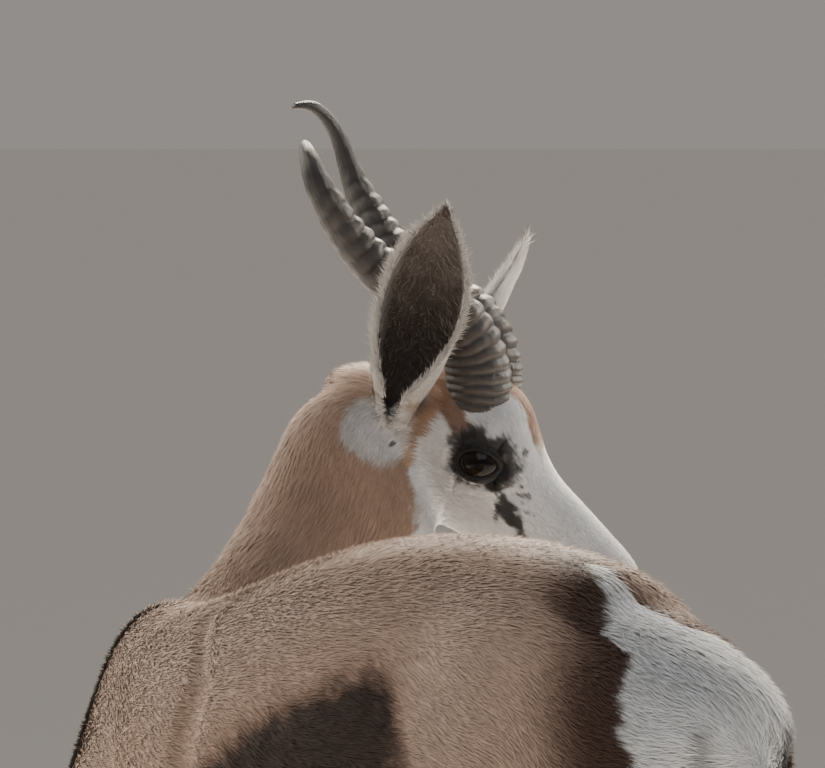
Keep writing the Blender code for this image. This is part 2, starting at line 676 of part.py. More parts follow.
def lock(rng, root, length, wide):
    """A flat tapered lock of hair that hangs and bends."""
    lean = rng.uniform(-0.35, 0.35)
    bend = rng.uniform(-0.25, 0.25)
    face = rng.uniform(0, 2 * math.pi)
    out = Vector((math.cos(face), math.sin(face), 0))
    across = Vector((-out.y, out.x, 0))
    rings = []
    for t, width in ((0.0, 0.7), (0.3, 1.0), (0.65, 0.8), (0.93, 0.25)):
        centre = Vector(root) + Vector((0, 0, -length * t))
        centre += out * (0.006 * math.sin(t * 2.6) + 0.004 * t) + across * (lean * 0.02 * t + bend * 0.02 * t * t)
        w = 0.5 * wide * width
        rings.append([tuple(centre + across * w), tuple(centre + out * w * 0.55), tuple(centre - across * w),
                      tuple(centre - out * w * 0.45)])
    return skin_rings("lock", np.array(rings))


def tail_tuft(tail):
    """Fuses the black locks of the tuft onto the end of the tail."""
    rng = np.random.default_rng(SEED)
    holder = bpy.data.collections.new("tuft_locks")
    bpy.context.scene.collection.children.link(holder)
    for k in range(9):
        low = k / 8
        root = (rng.uniform(-0.002, 0.002), 0.406 + rng.uniform(-0.002, 0.002), 0.575 - 0.060 * low)
        item = lock(rng, root, rng.uniform(0.060, 0.085), rng.uniform(0.012, 0.017))
        bpy.context.scene.collection.objects.unlink(item)
        holder.objects.link(item)
    apply_modifier(tail, "BOOLEAN", operand_type="COLLECTION", collection=holder, operation="UNION", solver="EXACT")
    for item in list(holder.objects):
        bpy.data.objects.remove(item)
    bpy.data.collections.remove(holder)
    return largest_part(tail)


def loose_parts(item):
    """Splits a mesh into its closed pieces, as bmeshes' face groups, largest first."""
    work = bmesh.new()
    work.from_mesh(item.data)
    work.verts.ensure_lookup_table()
    label = [-1] * len(work.verts)
    groups = 0
    for seed in work.verts:
        if label[seed.index] >= 0:
            continue
        stack = [seed]
        label[seed.index] = groups
        while stack:
            vert = stack.pop()
            for edge in vert.link_edges:
                other = edge.other_vert(vert)
                if label[other.index] < 0:
                    label[other.index] = groups
                    stack.append(other)
        groups += 1
    pieces = []
    for k in range(groups):
        index = {}
        verts = []
        for vert in work.verts:
            if label[vert.index] == k:
                index[vert.index] = len(verts)
                verts.append(tuple(vert.co))
        faces = [[index[v.index] for v in face.verts] for face in work.faces if label[face.verts[0].index] == k]
        pieces.append((verts, faces))
    work.free()
    bpy.data.objects.remove(item)
    pieces.sort(key=lambda piece: -len(piece[0]))
    return pieces


# Names of the pieces of the skin, each with a point it lies nearest to.
PIECE_POINTS = {
    "torso": (0.0, 0.05, 0.70),
    "neck": (-0.19, -0.39, 0.80),
    "tail": (0.0, 0.395, 0.60),
    "hind_shank_left": (0.085, 0.28, 0.39),
    "hind_shank_right": (-0.085, 0.28, 0.39),
    "hind_foot_left": (0.083, 0.32, 0.18),
    "hind_foot_right": (-0.083, 0.32, 0.18),
    "forearm_left": (0.07, -0.28, 0.34),
    "forearm_right": (-0.07, -0.28, 0.34),
    "fore_foot_left": (0.066, -0.285, 0.15),
    "fore_foot_right": (-0.066, -0.285, 0.15),
}


def name_pieces(pieces):
    """Makes an object of each piece, named after the point that it lies nearest to."""
    points = {name: Vector(point) for name, point in PIECE_POINTS.items()}
    points["head"] = head_point(0.03, 0, -0.07)
    made = {}
    for verts, faces in pieces[:len(points)]:
        centre = Vector(np.mean(verts, axis=0))
        name = min((n for n in points if n not in made), key=lambda n: (points[n] - centre).length)
        made[name] = new_object(name, verts, faces)
    return made


def finish_piece(item, colour, roughness, slot):
    """Gives a piece its material and smooth shading."""
    material = bpy.data.materials.new(slot + "_" + item.name)
    material.use_nodes = True
    shader = material.node_tree.nodes["Principled BSDF"]
    shader.inputs["Base Color"].default_value = (*colour, 1)
    shader.inputs["Roughness"].default_value = roughness
    shader.inputs["Metallic"].default_value = 0.0
    item.data.materials.clear()
    item.data.materials.append(material)
    item.data.shade_smooth()


def main():
    """Builds the ram piece by piece."""
    clear_scene()
    skin = whole_skin()
    for side in (1, -1):
        path = LEFT_HORN if side > 0 else RIGHT_HORN
        boolean(skin, horn(path, GAP), "DIFFERENCE")
        boolean(skin, ear(side, GAP, 0.24), "DIFFERENCE")
        boolean(skin, slit_cutter(side), "DIFFERENCE")
        boolean(skin, socket(side), "DIFFERENCE")
        boolean(skin, nostril_cutter(side), "DIFFERENCE")
        boolean(skin, foot_cutter(side * FORE_HOOF_X, -0.317), "DIFFERENCE")
        boolean(skin, foot_cutter(side * HIND_HOOF_X, 0.274), "DIFFERENCE")
    boolean(skin, mouth_cutter(), "DIFFERENCE")
    for cutter in parting_plates():
        boolean(skin, cutter, "DIFFERENCE")
    pieces = loose_parts(skin)
    made = name_pieces(pieces)
    made["tail"] = tail_tuft(made["tail"])
    for side, word in ((1, "left"), (-1, "right")):
        made["ear_" + word] = ear(side)
        made["horn_" + word] = horn(LEFT_HORN if side > 0 else RIGHT_HORN)
        made["eye_" + word] = ball(side)
        made["eye_" + word].name = "eye_" + word
        for part, x, y in (("fore", FORE_HOOF_X, -0.321), ("hind", HIND_HOOF_X, 0.270)):
            for inner, where in ((-1, "outer"), (1, "inner")):
                name = f"{part}_claw_{where}_{word}"
                shift = 0.5 * CLAW_WIDTH + 0.0006
                made[name] = claw(name, side * (x - inner * shift), y, side * inner)
    place = Matrix.Translation(FRAME_SHIFT)
    group = bpy.data.collections.new("springbok")
    bpy.context.scene.collection.children.link(group)
    for name, item in made.items():
        item.data.transform(place)
        for holder in list(item.users_collection):
            holder.objects.unlink(item)
        group.objects.link(item)
        item.name = name
        if name.startswith("eye"):
            finish_piece(item, EYE_COLOUR, 0.05, "eye")
        elif name.startswith("horn"):
            finish_piece(item, HORN_COLOUR, 0.55, "horn")
        elif "claw" in name:
            finish_piece(item, HOOF_COLOUR, 0.45, "hoof")
        else:
            finish_piece(item, COAT_FAWN, 0.9, "coat")


main()
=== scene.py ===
"""A life-size springbok ram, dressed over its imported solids.

The ram is worked out about its withers, in metres, +Z up, facing -Y with its left side at +X, and one
shift carries it into the frame. The head has a frame of its own: x runs along the face to the nose, y to
the ram's left and z out of the forehead. The flesh is lofted, fused into one skin and sunk by the depth
of the coat, which then grows on it as thin tufts that follow the lie of the hair.
"""

import logging
import math
from dataclasses import dataclass, field, fields
from enum import Enum
from typing import Callable, Sequence

import bmesh
import bpy
import numpy as np
from mathutils import Matrix, Vector

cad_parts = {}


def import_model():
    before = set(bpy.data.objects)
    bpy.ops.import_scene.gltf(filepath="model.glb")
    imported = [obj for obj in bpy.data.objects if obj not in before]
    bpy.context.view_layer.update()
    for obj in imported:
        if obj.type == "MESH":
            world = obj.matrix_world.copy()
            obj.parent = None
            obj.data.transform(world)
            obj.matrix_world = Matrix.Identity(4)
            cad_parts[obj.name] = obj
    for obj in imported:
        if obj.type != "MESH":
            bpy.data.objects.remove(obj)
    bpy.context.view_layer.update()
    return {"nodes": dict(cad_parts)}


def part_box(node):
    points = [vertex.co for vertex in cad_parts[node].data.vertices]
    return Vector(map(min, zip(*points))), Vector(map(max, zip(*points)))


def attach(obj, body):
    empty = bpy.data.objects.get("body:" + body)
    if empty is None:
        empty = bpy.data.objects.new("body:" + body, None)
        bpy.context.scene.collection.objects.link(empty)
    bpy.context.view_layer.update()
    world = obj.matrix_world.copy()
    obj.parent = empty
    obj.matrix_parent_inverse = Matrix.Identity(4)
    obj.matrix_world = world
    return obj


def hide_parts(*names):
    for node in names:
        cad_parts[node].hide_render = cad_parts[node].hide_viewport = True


log = logging.getLogger("springbok")
Array = np.ndarray

SHIFT = np.array([0.1376, 0.0282, 0.0])
UP = (0.0, 0.0, 1.0)
FORE = (0.0, -1.0, 0.0)


# Numbers over whole arrays


def unit(v: Array) -> Array:
    """Each vector divided by its own length."""
    return v / np.maximum(np.linalg.norm(v, axis=-1, keepdims=True), 1e-12)


def rise(x: Array, low: float, high: float) -> Array:
    """0 below low, 1 above high, and 3t^2 - 2t^3 between."""
    t = np.clip((x - low) / (high - low), 0.0, 1.0)
    return t * t * (3 - 2 * t)


def hill(x: Array, middle: float, width: float) -> Array:
    """A bell, exp(-((x - middle) / width)^2)."""
    return np.exp(-(((x - middle) / width) ** 2))


def noise(points: Array, size: float, seed: int = 0) -> Array:
    """Smooth random values between -1 and 1 in space, mixed between the corners of cubes of this size."""
    at = points / size
    low = np.floor(at).astype(np.int64)
    part = at - low
    part = part * part * (3 - 2 * part)
    total = np.zeros(len(points))
    for corner in range(8):
        step = np.array([corner & 1, corner >> 1 & 1, corner >> 2 & 1])
        i, j, k = (low + step).T
        mixed = (i * 374761393 + j * 668265263 + k * 2246822519 + seed * 3266489917) & 0xFFFFFFFF
        mixed = ((mixed ^ (mixed >> 13)) * 1274126177) & 0xFFFFFFFF
        value = ((mixed ^ (mixed >> 16)) & 0xFFFF) / 32767.5 - 1
        total += value * np.prod(np.where(step, part, 1 - part), axis=1)
    return total


def smooth_rows(rows: Sequence, steps: int) -> Array:
    """A smooth curve through the rows of a table, by the four-point rule, with `steps` samples to a span."""
    rows = np.asarray(rows, float)
    padded = np.vstack([2 * rows[0] - rows[1], rows, 2 * rows[-1] - rows[-2]])
    t = (np.arange(steps) / steps)[None, :, None]
    a, b, c, d = (padded[k:k + len(rows) - 1, None] for k in range(4))
    spans = 0.5 * (2 * b + (c - a) * t + (2 * a - 5 * b + 4 * c - d) * t ** 2
                   + (3 * b - a - 3 * c + d) * t ** 3)
    return np.vstack([spans.reshape(-1, rows.shape[1]), rows[-1:]])


def ring_frames(centres: Array, dorsal: Array) -> tuple[Array, Array, Array]:
    """Side, dorsal and forward directions of the rings along a path."""
    along = unit(np.gradient(centres, axis=0))
    up = unit(dorsal - along * (dorsal * along).sum(1)[:, None])
    return np.cross(up, along), up, along


def oval(count: int, power: float = 2.0) -> tuple[Array, Array]:
    """Points of |x|^power + |y|^power = 1, counter-clockwise."""
    angle = np.linspace(0, 2 * math.pi, count, endpoint=False)
    c, s = np.cos(angle), np.sin(angle)
    return np.sign(c) * np.abs(c) ** (2 / power), np.sign(s) * np.abs(s) ** (2 / power)


def smoothed(line: Array, width: int) -> Array:
    """A line of points averaged under a bell of this odd width, its ends carried on by reflection."""
    bell = np.hanning(width) / np.hanning(width).sum()
    half = width // 2
    padded = np.pad(line, ((half, half), (0, 0)), mode="reflect", reflect_type="odd")
    return np.stack([np.convolve(padded[:, k], bell, "valid") for k in range(3)], axis=1)


def way_at(azimuth: float, elevation: float) -> Vector:
    """The direction at these angles in degrees, azimuth 0 in front of the ram and 90 at its left."""
    a, e = math.radians(azimuth), math.radians(elevation)
    return Vector((math.sin(a) * math.cos(e), -math.cos(a) * math.cos(e), math.sin(e)))


# Meshes


def mesh_object(name: str, points: Array, corners: Array, sides: int | Array) -> bpy.types.Object:
    """A mesh object from arrays.

    Args:
        name: Name of the object and its mesh.
        points: One row to a point.
        corners: Point numbers of all faces, one after another.
        sides: Corners of each face, one number for all or one to a face.

    Returns:
        The object, linked to the scene.
    """
    mesh = bpy.data.meshes.new(name)
    mesh.vertices.add(len(points))
    mesh.vertices.foreach_set("co", np.ascontiguousarray(points, np.float32).ravel())
    mesh.loops.add(len(corners))
    mesh.loops.foreach_set("vertex_index", np.ascontiguousarray(corners, np.int32).ravel())
    counts = np.full(len(corners) // sides, sides) if isinstance(sides, int) else np.asarray(sides)
    mesh.polygons.add(len(counts))
    starts = np.concatenate([[0], np.cumsum(counts)[:-1]]).astype(np.int32)
    mesh.polygons.foreach_set("loop_start", starts)
    mesh.update(calc_edges=True)
    mesh.shade_smooth()
    item = bpy.data.objects.new(name, mesh)
    bpy.context.scene.collection.objects.link(item)
    return item


def tube(name: str, rings: Array) -> bpy.types.Object:
    """A closed mesh through rings of equally many points, with a fan to the middle of each end ring."""
    count, around = rings.shape[:2]
    points = np.vstack([rings.reshape(-1, 3), rings[0].mean(0), rings[-1].mean(0)])
    i, j = np.meshgrid(np.arange(count - 1), np.arange(around), indexing="ij")
    k = (j + 1) % around
    quads = np.stack([i * around + j, i * around + k, (i + 1) * around + k, (i + 1) * around + j], axis=-1)
    j = np.arange(around)
    k = (j + 1) % around
    head = np.stack([np.full(around, count * around), k, j], axis=-1)
    tail = np.stack([np.full(around, count * around + 1), (count - 1) * around + j,
                     (count - 1) * around + k], axis=-1)
    corners = np.concatenate([quads.ravel(), head.ravel(), tail.ravel()])
    sides = np.concatenate([np.full(quads.size // 4, 4), np.full(2 * around, 3)])
    item = mesh_object(name, points, corners, sides)
    face_out(item)
    return item


def face_out(item: bpy.types.Object) -> None:
    """Turns all faces of a closed mesh outwards."""
    work = bmesh.new()
    work.from_mesh(item.data)
    bmesh.ops.recalc_face_normals(work, faces=work.faces)
    work.to_mesh(item.data)
    work.free()


def points_of(item: bpy.types.Object) -> Array:
    """All points of a mesh object, one row each."""
    points = np.empty(len(item.data.vertices) * 3, np.float32)
    item.data.vertices.foreach_get("co", points)
    return points.reshape(-1, 3).astype(float)


def set_points(item: bpy.types.Object, points: Array) -> None:
    """Moves all points of a mesh object."""
    item.data.vertices.foreach_set("co", points.astype(np.float32).ravel())
    item.data.update()


def normals_of(item: bpy.types.Object) -> Array:
    """The normal at each point of a mesh object."""
    normals = np.empty(len(item.data.vertices) * 3, np.float32)
    item.data.vertex_normals.foreach_get("vector", normals)
    return normals.reshape(-1, 3).astype(float)


def edges_of(item: bpy.types.Object) -> Array:
    """The two point numbers of each edge."""
    edges = np.empty(len(item.data.edges) * 2, np.int32)
    item.data.edges.foreach_get("vertices", edges)
    return edges.reshape(-1, 2)


def relax(item: bpy.types.Object, weight: Array, rounds: int) -> None:
    """Moves each point by its weight towards the mean of its neighbours, again and again."""
    points, edges = points_of(item), edges_of(item)
    count = len(points)
    a, b = edges.T
    degree = np.maximum(np.bincount(edges.ravel(), minlength=count), 1)
    for _ in range(rounds):
        mean = np.stack([np.bincount(a, points[b, k], count) + np.bincount(b, points[a, k], count)
                         for k in range(3)], axis=1) / degree[:, None]
        points += weight[:, None] * (mean - points)
    set_points(item, points)


def with_modifier(item: bpy.types.Object, kind: str, **settings: object) -> bpy.types.Object:
    """Adds a modifier with these settings and applies it."""
    modifier = item.modifiers.new(kind.title(), kind)
    for key, value in settings.items():
        setattr(modifier, key, value)
    depsgraph = bpy.context.evaluated_depsgraph_get()
    mesh = bpy.data.meshes.new_from_object(item.evaluated_get(depsgraph))
    item.modifiers.clear()
    item.data = mesh
    return item


def joined(name: str, items: list[bpy.types.Object]) -> bpy.types.Object:
    """One object with the faces of several, which are removed."""
    work = bmesh.new()
    for item in items:
        work.from_mesh(item.data)
        bpy.data.objects.remove(item)
    mesh = bpy.data.meshes.new(name)
    work.to_mesh(mesh)
    work.free()
    whole = bpy.data.objects.new(name, mesh)
    bpy.context.scene.collection.objects.link(whole)
    return whole


def refine(item: bpy.types.Object, inside: Callable[[Array], Array], rounds: int = 3) -> None:
    """Splits each edge that lies inside a region in two, and smooths the region lightly."""
    pick = inside(points_of(item))
    work = bmesh.new()
    work.from_mesh(item.data)
    work.verts.ensure_lookup_table()
    edges = [e for e in work.edges if pick[e.verts[0].index] and pick[e.verts[1].index]]
    bmesh.ops.subdivide_edges(work, edges=edges, cuts=1, use_grid_fill=True)
    work.to_mesh(item.data)
    work.free()
    relax(item, 0.5 * inside(points_of(item)).astype(float), rounds)


def keep_largest(item: bpy.types.Object) -> None:
    """Keeps only the largest closed surface, found by spreading the lowest point number along the edges."""
    edges = edges_of(item)
    label = np.arange(len(item.data.vertices))
    while True:
        low = np.minimum(label[edges[:, 0]], label[edges[:, 1]])
        new = label.copy()
        np.minimum.at(new, edges[:, 0], low)
        np.minimum.at(new, edges[:, 1], low)
        new = new[new]
        if (new == label).all():
            break
        label = new
    main = np.bincount(label).argmax()
    work = bmesh.new()
    work.from_mesh(item.data)
    work.verts.ensure_lookup_table()
    loose = [work.verts[k] for k in np.flatnonzero(label != main)]
    bmesh.ops.delete(work, geom=loose, context="VERTS")
    work.to_mesh(item.data)
    work.free()


# The ram's measures

# Trunk stations from the buttocks to the brisket: y, topline, widest level, underline, half width.
TRUNK = (
    (0.366, 0.704, 0.668, 0.618, 0.024),
    (0.353, 0.744, 0.684, 0.588, 0.056),
    (0.334, 0.780, 0.694, 0.562, 0.079),
    (0.302, 0.8085, 0.692, 0.548, 0.095),
    (0.250, 0.8330, 0.682, 0.540, 0.106),
    (0.180, 0.8495, 0.680, 0.536, 0.114),
    (0.100, 0.858, 0.678, 0.522, 0.120),
    (0.000, 0.854, 0.668, 0.488, 0.130),
    (-0.100, 0.832, 0.650, 0.460, 0.132),
    (-0.190, 0.806, 0.635, 0.450, 0.118),
    (-0.260, 0.792, 0.622, 0.450, 0.097),
    (-0.320, 0.790, 0.615, 0.464, 0.073),
    (-0.365, 0.762, 0.612, 0.492, 0.063),
    (-0.403, 0.715, 0.615, 0.535, 0.050),
    (-0.425, 0.665, 0.620, 0.580, 0.022),
)

# Legs from the trunk to the coronet: y, z, x, half width, reach forward, reach back.
HIND_LEG = (
    (0.235, 0.745, 0.048, 0.034, 0.080, 0.078),
    (0.237, 0.690, 0.060, 0.048, 0.105, 0.112),
    (0.232, 0.610, 0.071, 0.050, 0.108, 0.122),
    (0.222, 0.530, 0.079, 0.046, 0.090, 0.116),
    (0.230, 0.465, 0.083, 0.038, 0.062, 0.078),
    (0.266, 0.405, 0.085, 0.028, 0.038, 0.046),
    (0.318, 0.352, 0.085, 0.0195, 0.023, 0.028),
    (0.343, 0.318, 0.084, 0.0195, 0.022, 0.027),
    (0.340, 0.275, 0.083, 0.0155, 0.0165, 0.0190),
    (0.322, 0.190, 0.083, 0.0122, 0.0130, 0.0155),
    (0.309, 0.122, 0.083, 0.0128, 0.0135, 0.0160),
    (0.302, 0.095, 0.083, 0.0170, 0.0165, 0.0195),
    (0.289, 0.065, 0.083, 0.0160, 0.0150, 0.0170),
    (0.276, 0.040, 0.083, 0.0200, 0.0200, 0.0200),
    (0.266, 0.016, 0.083, 0.0200, 0.0200, 0.0200),
)
FORE_LEG = (
    (-0.270, 0.740, 0.034, 0.020, 0.045, 0.050),
    (-0.288, 0.680, 0.050, 0.031, 0.066, 0.070),
    (-0.308, 0.610, 0.064, 0.034, 0.076, 0.078),
    (-0.298, 0.540, 0.070, 0.033, 0.064, 0.074),
    (-0.275, 0.475, 0.071, 0.028, 0.042, 0.052),
    (-0.276, 0.410, 0.070, 0.023, 0.029, 0.034),
    (-0.283, 0.335, 0.068, 0.0180, 0.0205, 0.0230),
    (-0.287, 0.272, 0.067, 0.0190, 0.0195, 0.0205),
    (-0.284, 0.235, 0.066, 0.0150, 0.0152, 0.0168),
    (-0.284, 0.165, 0.066, 0.0118, 0.0122, 0.0140),
    (-0.286, 0.115, 0.066, 0.0125, 0.0125, 0.0155),
    (-0.289, 0.092, 0.066, 0.0160, 0.0155, 0.0190),
    (-0.302, 0.065, 0.066, 0.0150, 0.0145, 0.0165),
    (-0.315, 0.040, 0.066, 0.0195, 0.0200, 0.0195),
    (-0.325, 0.016, 0.066, 0.0195, 0.0200, 0.0195),
)

# Dew claws, as x, y, z, and coronets, as x, y, of the fore and hind foot.
DEW_CLAWS = ((0.066, -0.266, 0.082), (0.083, 0.326, 0.084))
CORONETS = ((0.066, -0.317), (0.083, 0.274))
CLAW_TILT = math.radians(16)

# Neck and tail: centre, half width, dorsal reach, ventral reach, dorsal way.
NECK = (
    (-0.004, -0.270, 0.655, 0.058, 0.105, 0.110, 0.00, 0.35, 0.94),
    (-0.030, -0.325, 0.680, 0.058, 0.092, 0.112, 0.20, 0.20, 0.94),
    (-0.085, -0.368, 0.712, 0.055, 0.078, 0.102, 0.45, -0.15, 0.85),
    (-0.148, -0.388, 0.757, 0.052, 0.070, 0.090, 0.70, -0.40, 0.55),
    (-0.195, -0.393, 0.812, 0.049, 0.067, 0.086, 0.80, -0.55, 0.25),
    (-0.217, -0.392, 0.860, 0.046, 0.063, 0.084, 0.80, -0.58, 0.20),
    (-0.232, -0.392, 0.900, 0.044, 0.055, 0.062, 0.70, -0.52, 0.35),
    (-0.250, -0.390, 0.925, 0.040, 0.040, 0.052, 0.60, -0.45, 0.45),
    (-0.268, -0.380, 0.938, 0.028, 0.024, 0.035, 0.60, -0.45, 0.45),
)
TAIL = (
    (0.0, 0.290, 0.742, 0.012, 0.012, 0.012, 0, 0, 1),
    (0.0, 0.342, 0.742, 0.013, 0.013, 0.013, 0, 0.3, 0.95),
    (0.0, 0.378, 0.722, 0.0125, 0.012, 0.012, 0, 0.8, 0.6),
    (0.0, 0.398, 0.685, 0.0115, 0.0105, 0.0105, 0, 1, 0.3),
    (0.0, 0.406, 0.620, 0.0105, 0.0085, 0.0085, 0, 1, 0.05),
    (0.0, 0.408, 0.550, 0.0085, 0.0065, 0.0065, 0, 1, 0),
    (0.0, 0.408, 0.505, 0.0055, 0.0045, 0.0045, 0, 1, 0),
)

# Head sections along the face: x, dorsal line, ventral line, widest level, half width, boxiness.
HEAD = (
    (-0.100, -0.104, -0.122, -0.112, 0.010, 2.0),
    (-0.090, -0.082, -0.132, -0.106, 0.026, 2.0),
    (-0.070, -0.055, -0.138, -0.094, 0.038, 2.1),
    (-0.045, -0.034, -0.138, -0.082, 0.043, 2.2),
    (-0.020, -0.009, -0.133, -0.070, 0.045, 2.3),
    (0.005, -0.003, -0.128, -0.060, 0.046, 2.4),
    (0.028, -0.009, -0.122, -0.056, 0.0445, 2.4),
    (0.050, -0.0165, -0.115, -0.055, 0.0400, 2.3),
    (0.072, -0.019, -0.104, -0.055, 0.0335, 2.3),
    (0.095, -0.0165, -0.093, -0.052, 0.0285, 2.3),
    (0.118, -0.0140, -0.083, -0.047, 0.0250, 2.3),
    (0.138, -0.0115, -0.075, -0.043, 0.0235, 2.3),
    (0.154, -0.0100, -0.071, -0.041, 0.0240, 2.3),
    (0.167, -0.0120, -0.067, -0.040, 0.0230, 2.3),
    (0.177, -0.0200, -0.060, -0.040, 0.0185, 2.2),
    (0.182, -0.0290, -0.052, -0.040, 0.0100, 2.0),
)

# Horn axes in the head's frame, with the radius.
RIGHT_HORN = (
    (-0.0080, -0.0220, -0.0420, 0.0240), (-0.0247, -0.0235, -0.0236, 0.0255),
    (-0.0423, -0.0255, -0.0134, 0.0250),
    (-0.0608, -0.0285, -0.0070, 0.0240), (-0.0800, -0.0320, -0.0068, 0.0230),
    (-0.0997, -0.0370, -0.0127, 0.0218),
    (-0.1180, -0.0430, -0.0203, 0.0205), (-0.1379, -0.0500, -0.0275, 0.0190),
    (-0.1618, -0.0580, -0.0306, 0.0168),
    (-0.1906, -0.0670, -0.0300, 0.0140), (-0.2080, -0.0710, -0.0271, 0.0125),
    (-0.2254, -0.0720, -0.0249, 0.0108),
    (-0.2411, -0.0680, -0.0211, 0.0085), (-0.2531, -0.0560, -0.0199, 0.0058),
    (-0.2581, -0.0420, -0.0213, 0.0030),
)
LEFT_HORN = (
    (-0.0080, 0.0220, -0.0420, 0.0240), (-0.0237, 0.0235, -0.0231, 0.0255),
    (-0.0409, 0.0255, -0.0130, 0.0250),
    (-0.0596, 0.0285, -0.0078, 0.0240), (-0.0789, 0.0320, -0.0091, 0.0230),
    (-0.0984, 0.0370, -0.0163, 0.0218),
    (-0.1177, 0.0430, -0.0259, 0.0205), (-0.1387, 0.0500, -0.0315, 0.0185),
    (-0.1615, 0.0580, -0.0331, 0.0160),
    (-0.1836, 0.0660, -0.0323, 0.0140), (-0.2070, 0.0730, -0.0305, 0.0115),
    (-0.2278, 0.0760, -0.0257, 0.0088),
    (-0.2498, 0.0740, -0.0190, 0.0068), (-0.2675, 0.0680, -0.0164, 0.0056),
    (-0.2825, 0.0580, -0.0188, 0.0046),
    (-0.2903, 0.0460, -0.0279, 0.0026),
)


# Swellings of the body on both sides: height, y, its width, z, its width.
MUSCLES = (
    (-0.0045, 0.105, 0.040, 0.745, 0.050),
    (0.0032, 0.175, 0.050, 0.790, 0.035),
    (-0.0030, 0.300, 0.018, 0.620, 0.090),
    (0.0025, 0.165, 0.030, 0.560, 0.050),
    (0.0030, -0.245, 0.035, 0.530, 0.040),
)

# Cheek ridge, tear hollow, brow and hollow below the eye, in the head's frame: height, x, how much longer
# the form is than deep, z, size, least distance from the middle.
FACE_FORMS = (
    (0.0016, 0.075, 2.4, -0.074, 0.010, 0.015),
    (-0.0022, 0.060, 1.6, -0.050, 0.006, 0.015),
    (0.0018, 0.010, 1.0, -0.034, 0.010, 0.025),
    (-0.0014, 0.000, 1.4, -0.082, 0.010, 0.025),
)


class Side(Enum):
    """The ram's two sides, by the sign of x."""

    LEFT = 1
    RIGHT = -1

    @property
    def word(self) -> str:
        """The side's name in lower case."""
        return self.name.lower()


@dataclass(frozen=True)
class HeadFrame:
    """The head's own frame and the way between it and the ram's."""

    origin: tuple[float, float, float] = (-0.336, -0.306, 0.942)
    turn: float = 136.0
    nod: float = 54.5
    roll: float = 5.0

    def axes(self) -> Array:
        """Its three axes as the columns of a matrix."""
        turn = Matrix.Rotation(math.radians(self.turn), 3, "Z")
        nod = Matrix.Rotation(math.radians(self.nod), 3, "Y")
        roll = Matrix.Rotation(math.radians(self.roll), 3, "X")
        return np.array(turn @ nod @ roll)

    def out(self, q: Array) -> Array:
        """Points of the head's frame in the ram's, in an array of any shape."""
        q = np.asarray(q, float)
        return (q.reshape(-1, 3) @ self.axes().T + np.array(self.origin)).reshape(q.shape)

    def into(self, p: Array) -> Array:
        """Points of the ram's frame in the head's."""
        return (np.asarray(p, float) - np.array(self.origin)) @ self.axes()


HEAD_FRAME = HeadFrame()


@dataclass(frozen=True)
class EyeShape:
    """The eye, its slit and its lids, in the head's frame."""

    centre: tuple[float, float, float] = (0.0254, 0.0345, -0.0550)
    radius: float = 0.0180
    lid: float = 0.0018
    half_length: float = 0.0186
    half_height: float = 0.0106
    slant: float = math.radians(45)

    def local(self, q: Array) -> tuple[Array, Array, Array]:
        """Offset from the eye's centre, and the places along and across the slit, alike on both sides."""
        d = np.stack([q[:, 0], np.abs(q[:, 1]), q[:, 2]], axis=1) - np.array(self.centre)
        cos, sin = math.cos(self.slant), math.sin(self.slant)
        return d, d[:, 0] * cos + d[:, 2] * sin, -d[:, 0] * sin + d[:, 2] * cos

    def edge(self, along: Array, across: Array) -> Array:
        """Distance outside the slit, whose half height at a is H (1 - (a / L)^2)^0.625."""
        share = np.clip(1 - (along / self.half_length) ** 2, 1e-4, 1)
        height = self.half_height * share ** 0.625
        slope = 1.25 * self.half_height * np.abs(along) / self.half_length ** 2 * share ** -0.375
        inside = (np.abs(across) - height) / np.sqrt(1 + np.minimum(slope, 3) ** 2)
        beyond = np.hypot(np.maximum(np.abs(along) - self.half_length, 0), across)
        return np.where(np.abs(along) < self.half_length, inside, beyond)

    def around(self, q: Array) -> tuple[Array, Array]:
        """Distance from the eye's centre and distance outside the slit."""
        d, along, across = self.local(q)
        return np.linalg.norm(d, axis=1), self.edge(along, across)

    def middle(self, sign: int) -> Array:
        """The centre of the eye on the side of this sign."""
        return np.array(self.centre) * (1, sign, 1)


EYE = EyeShape()


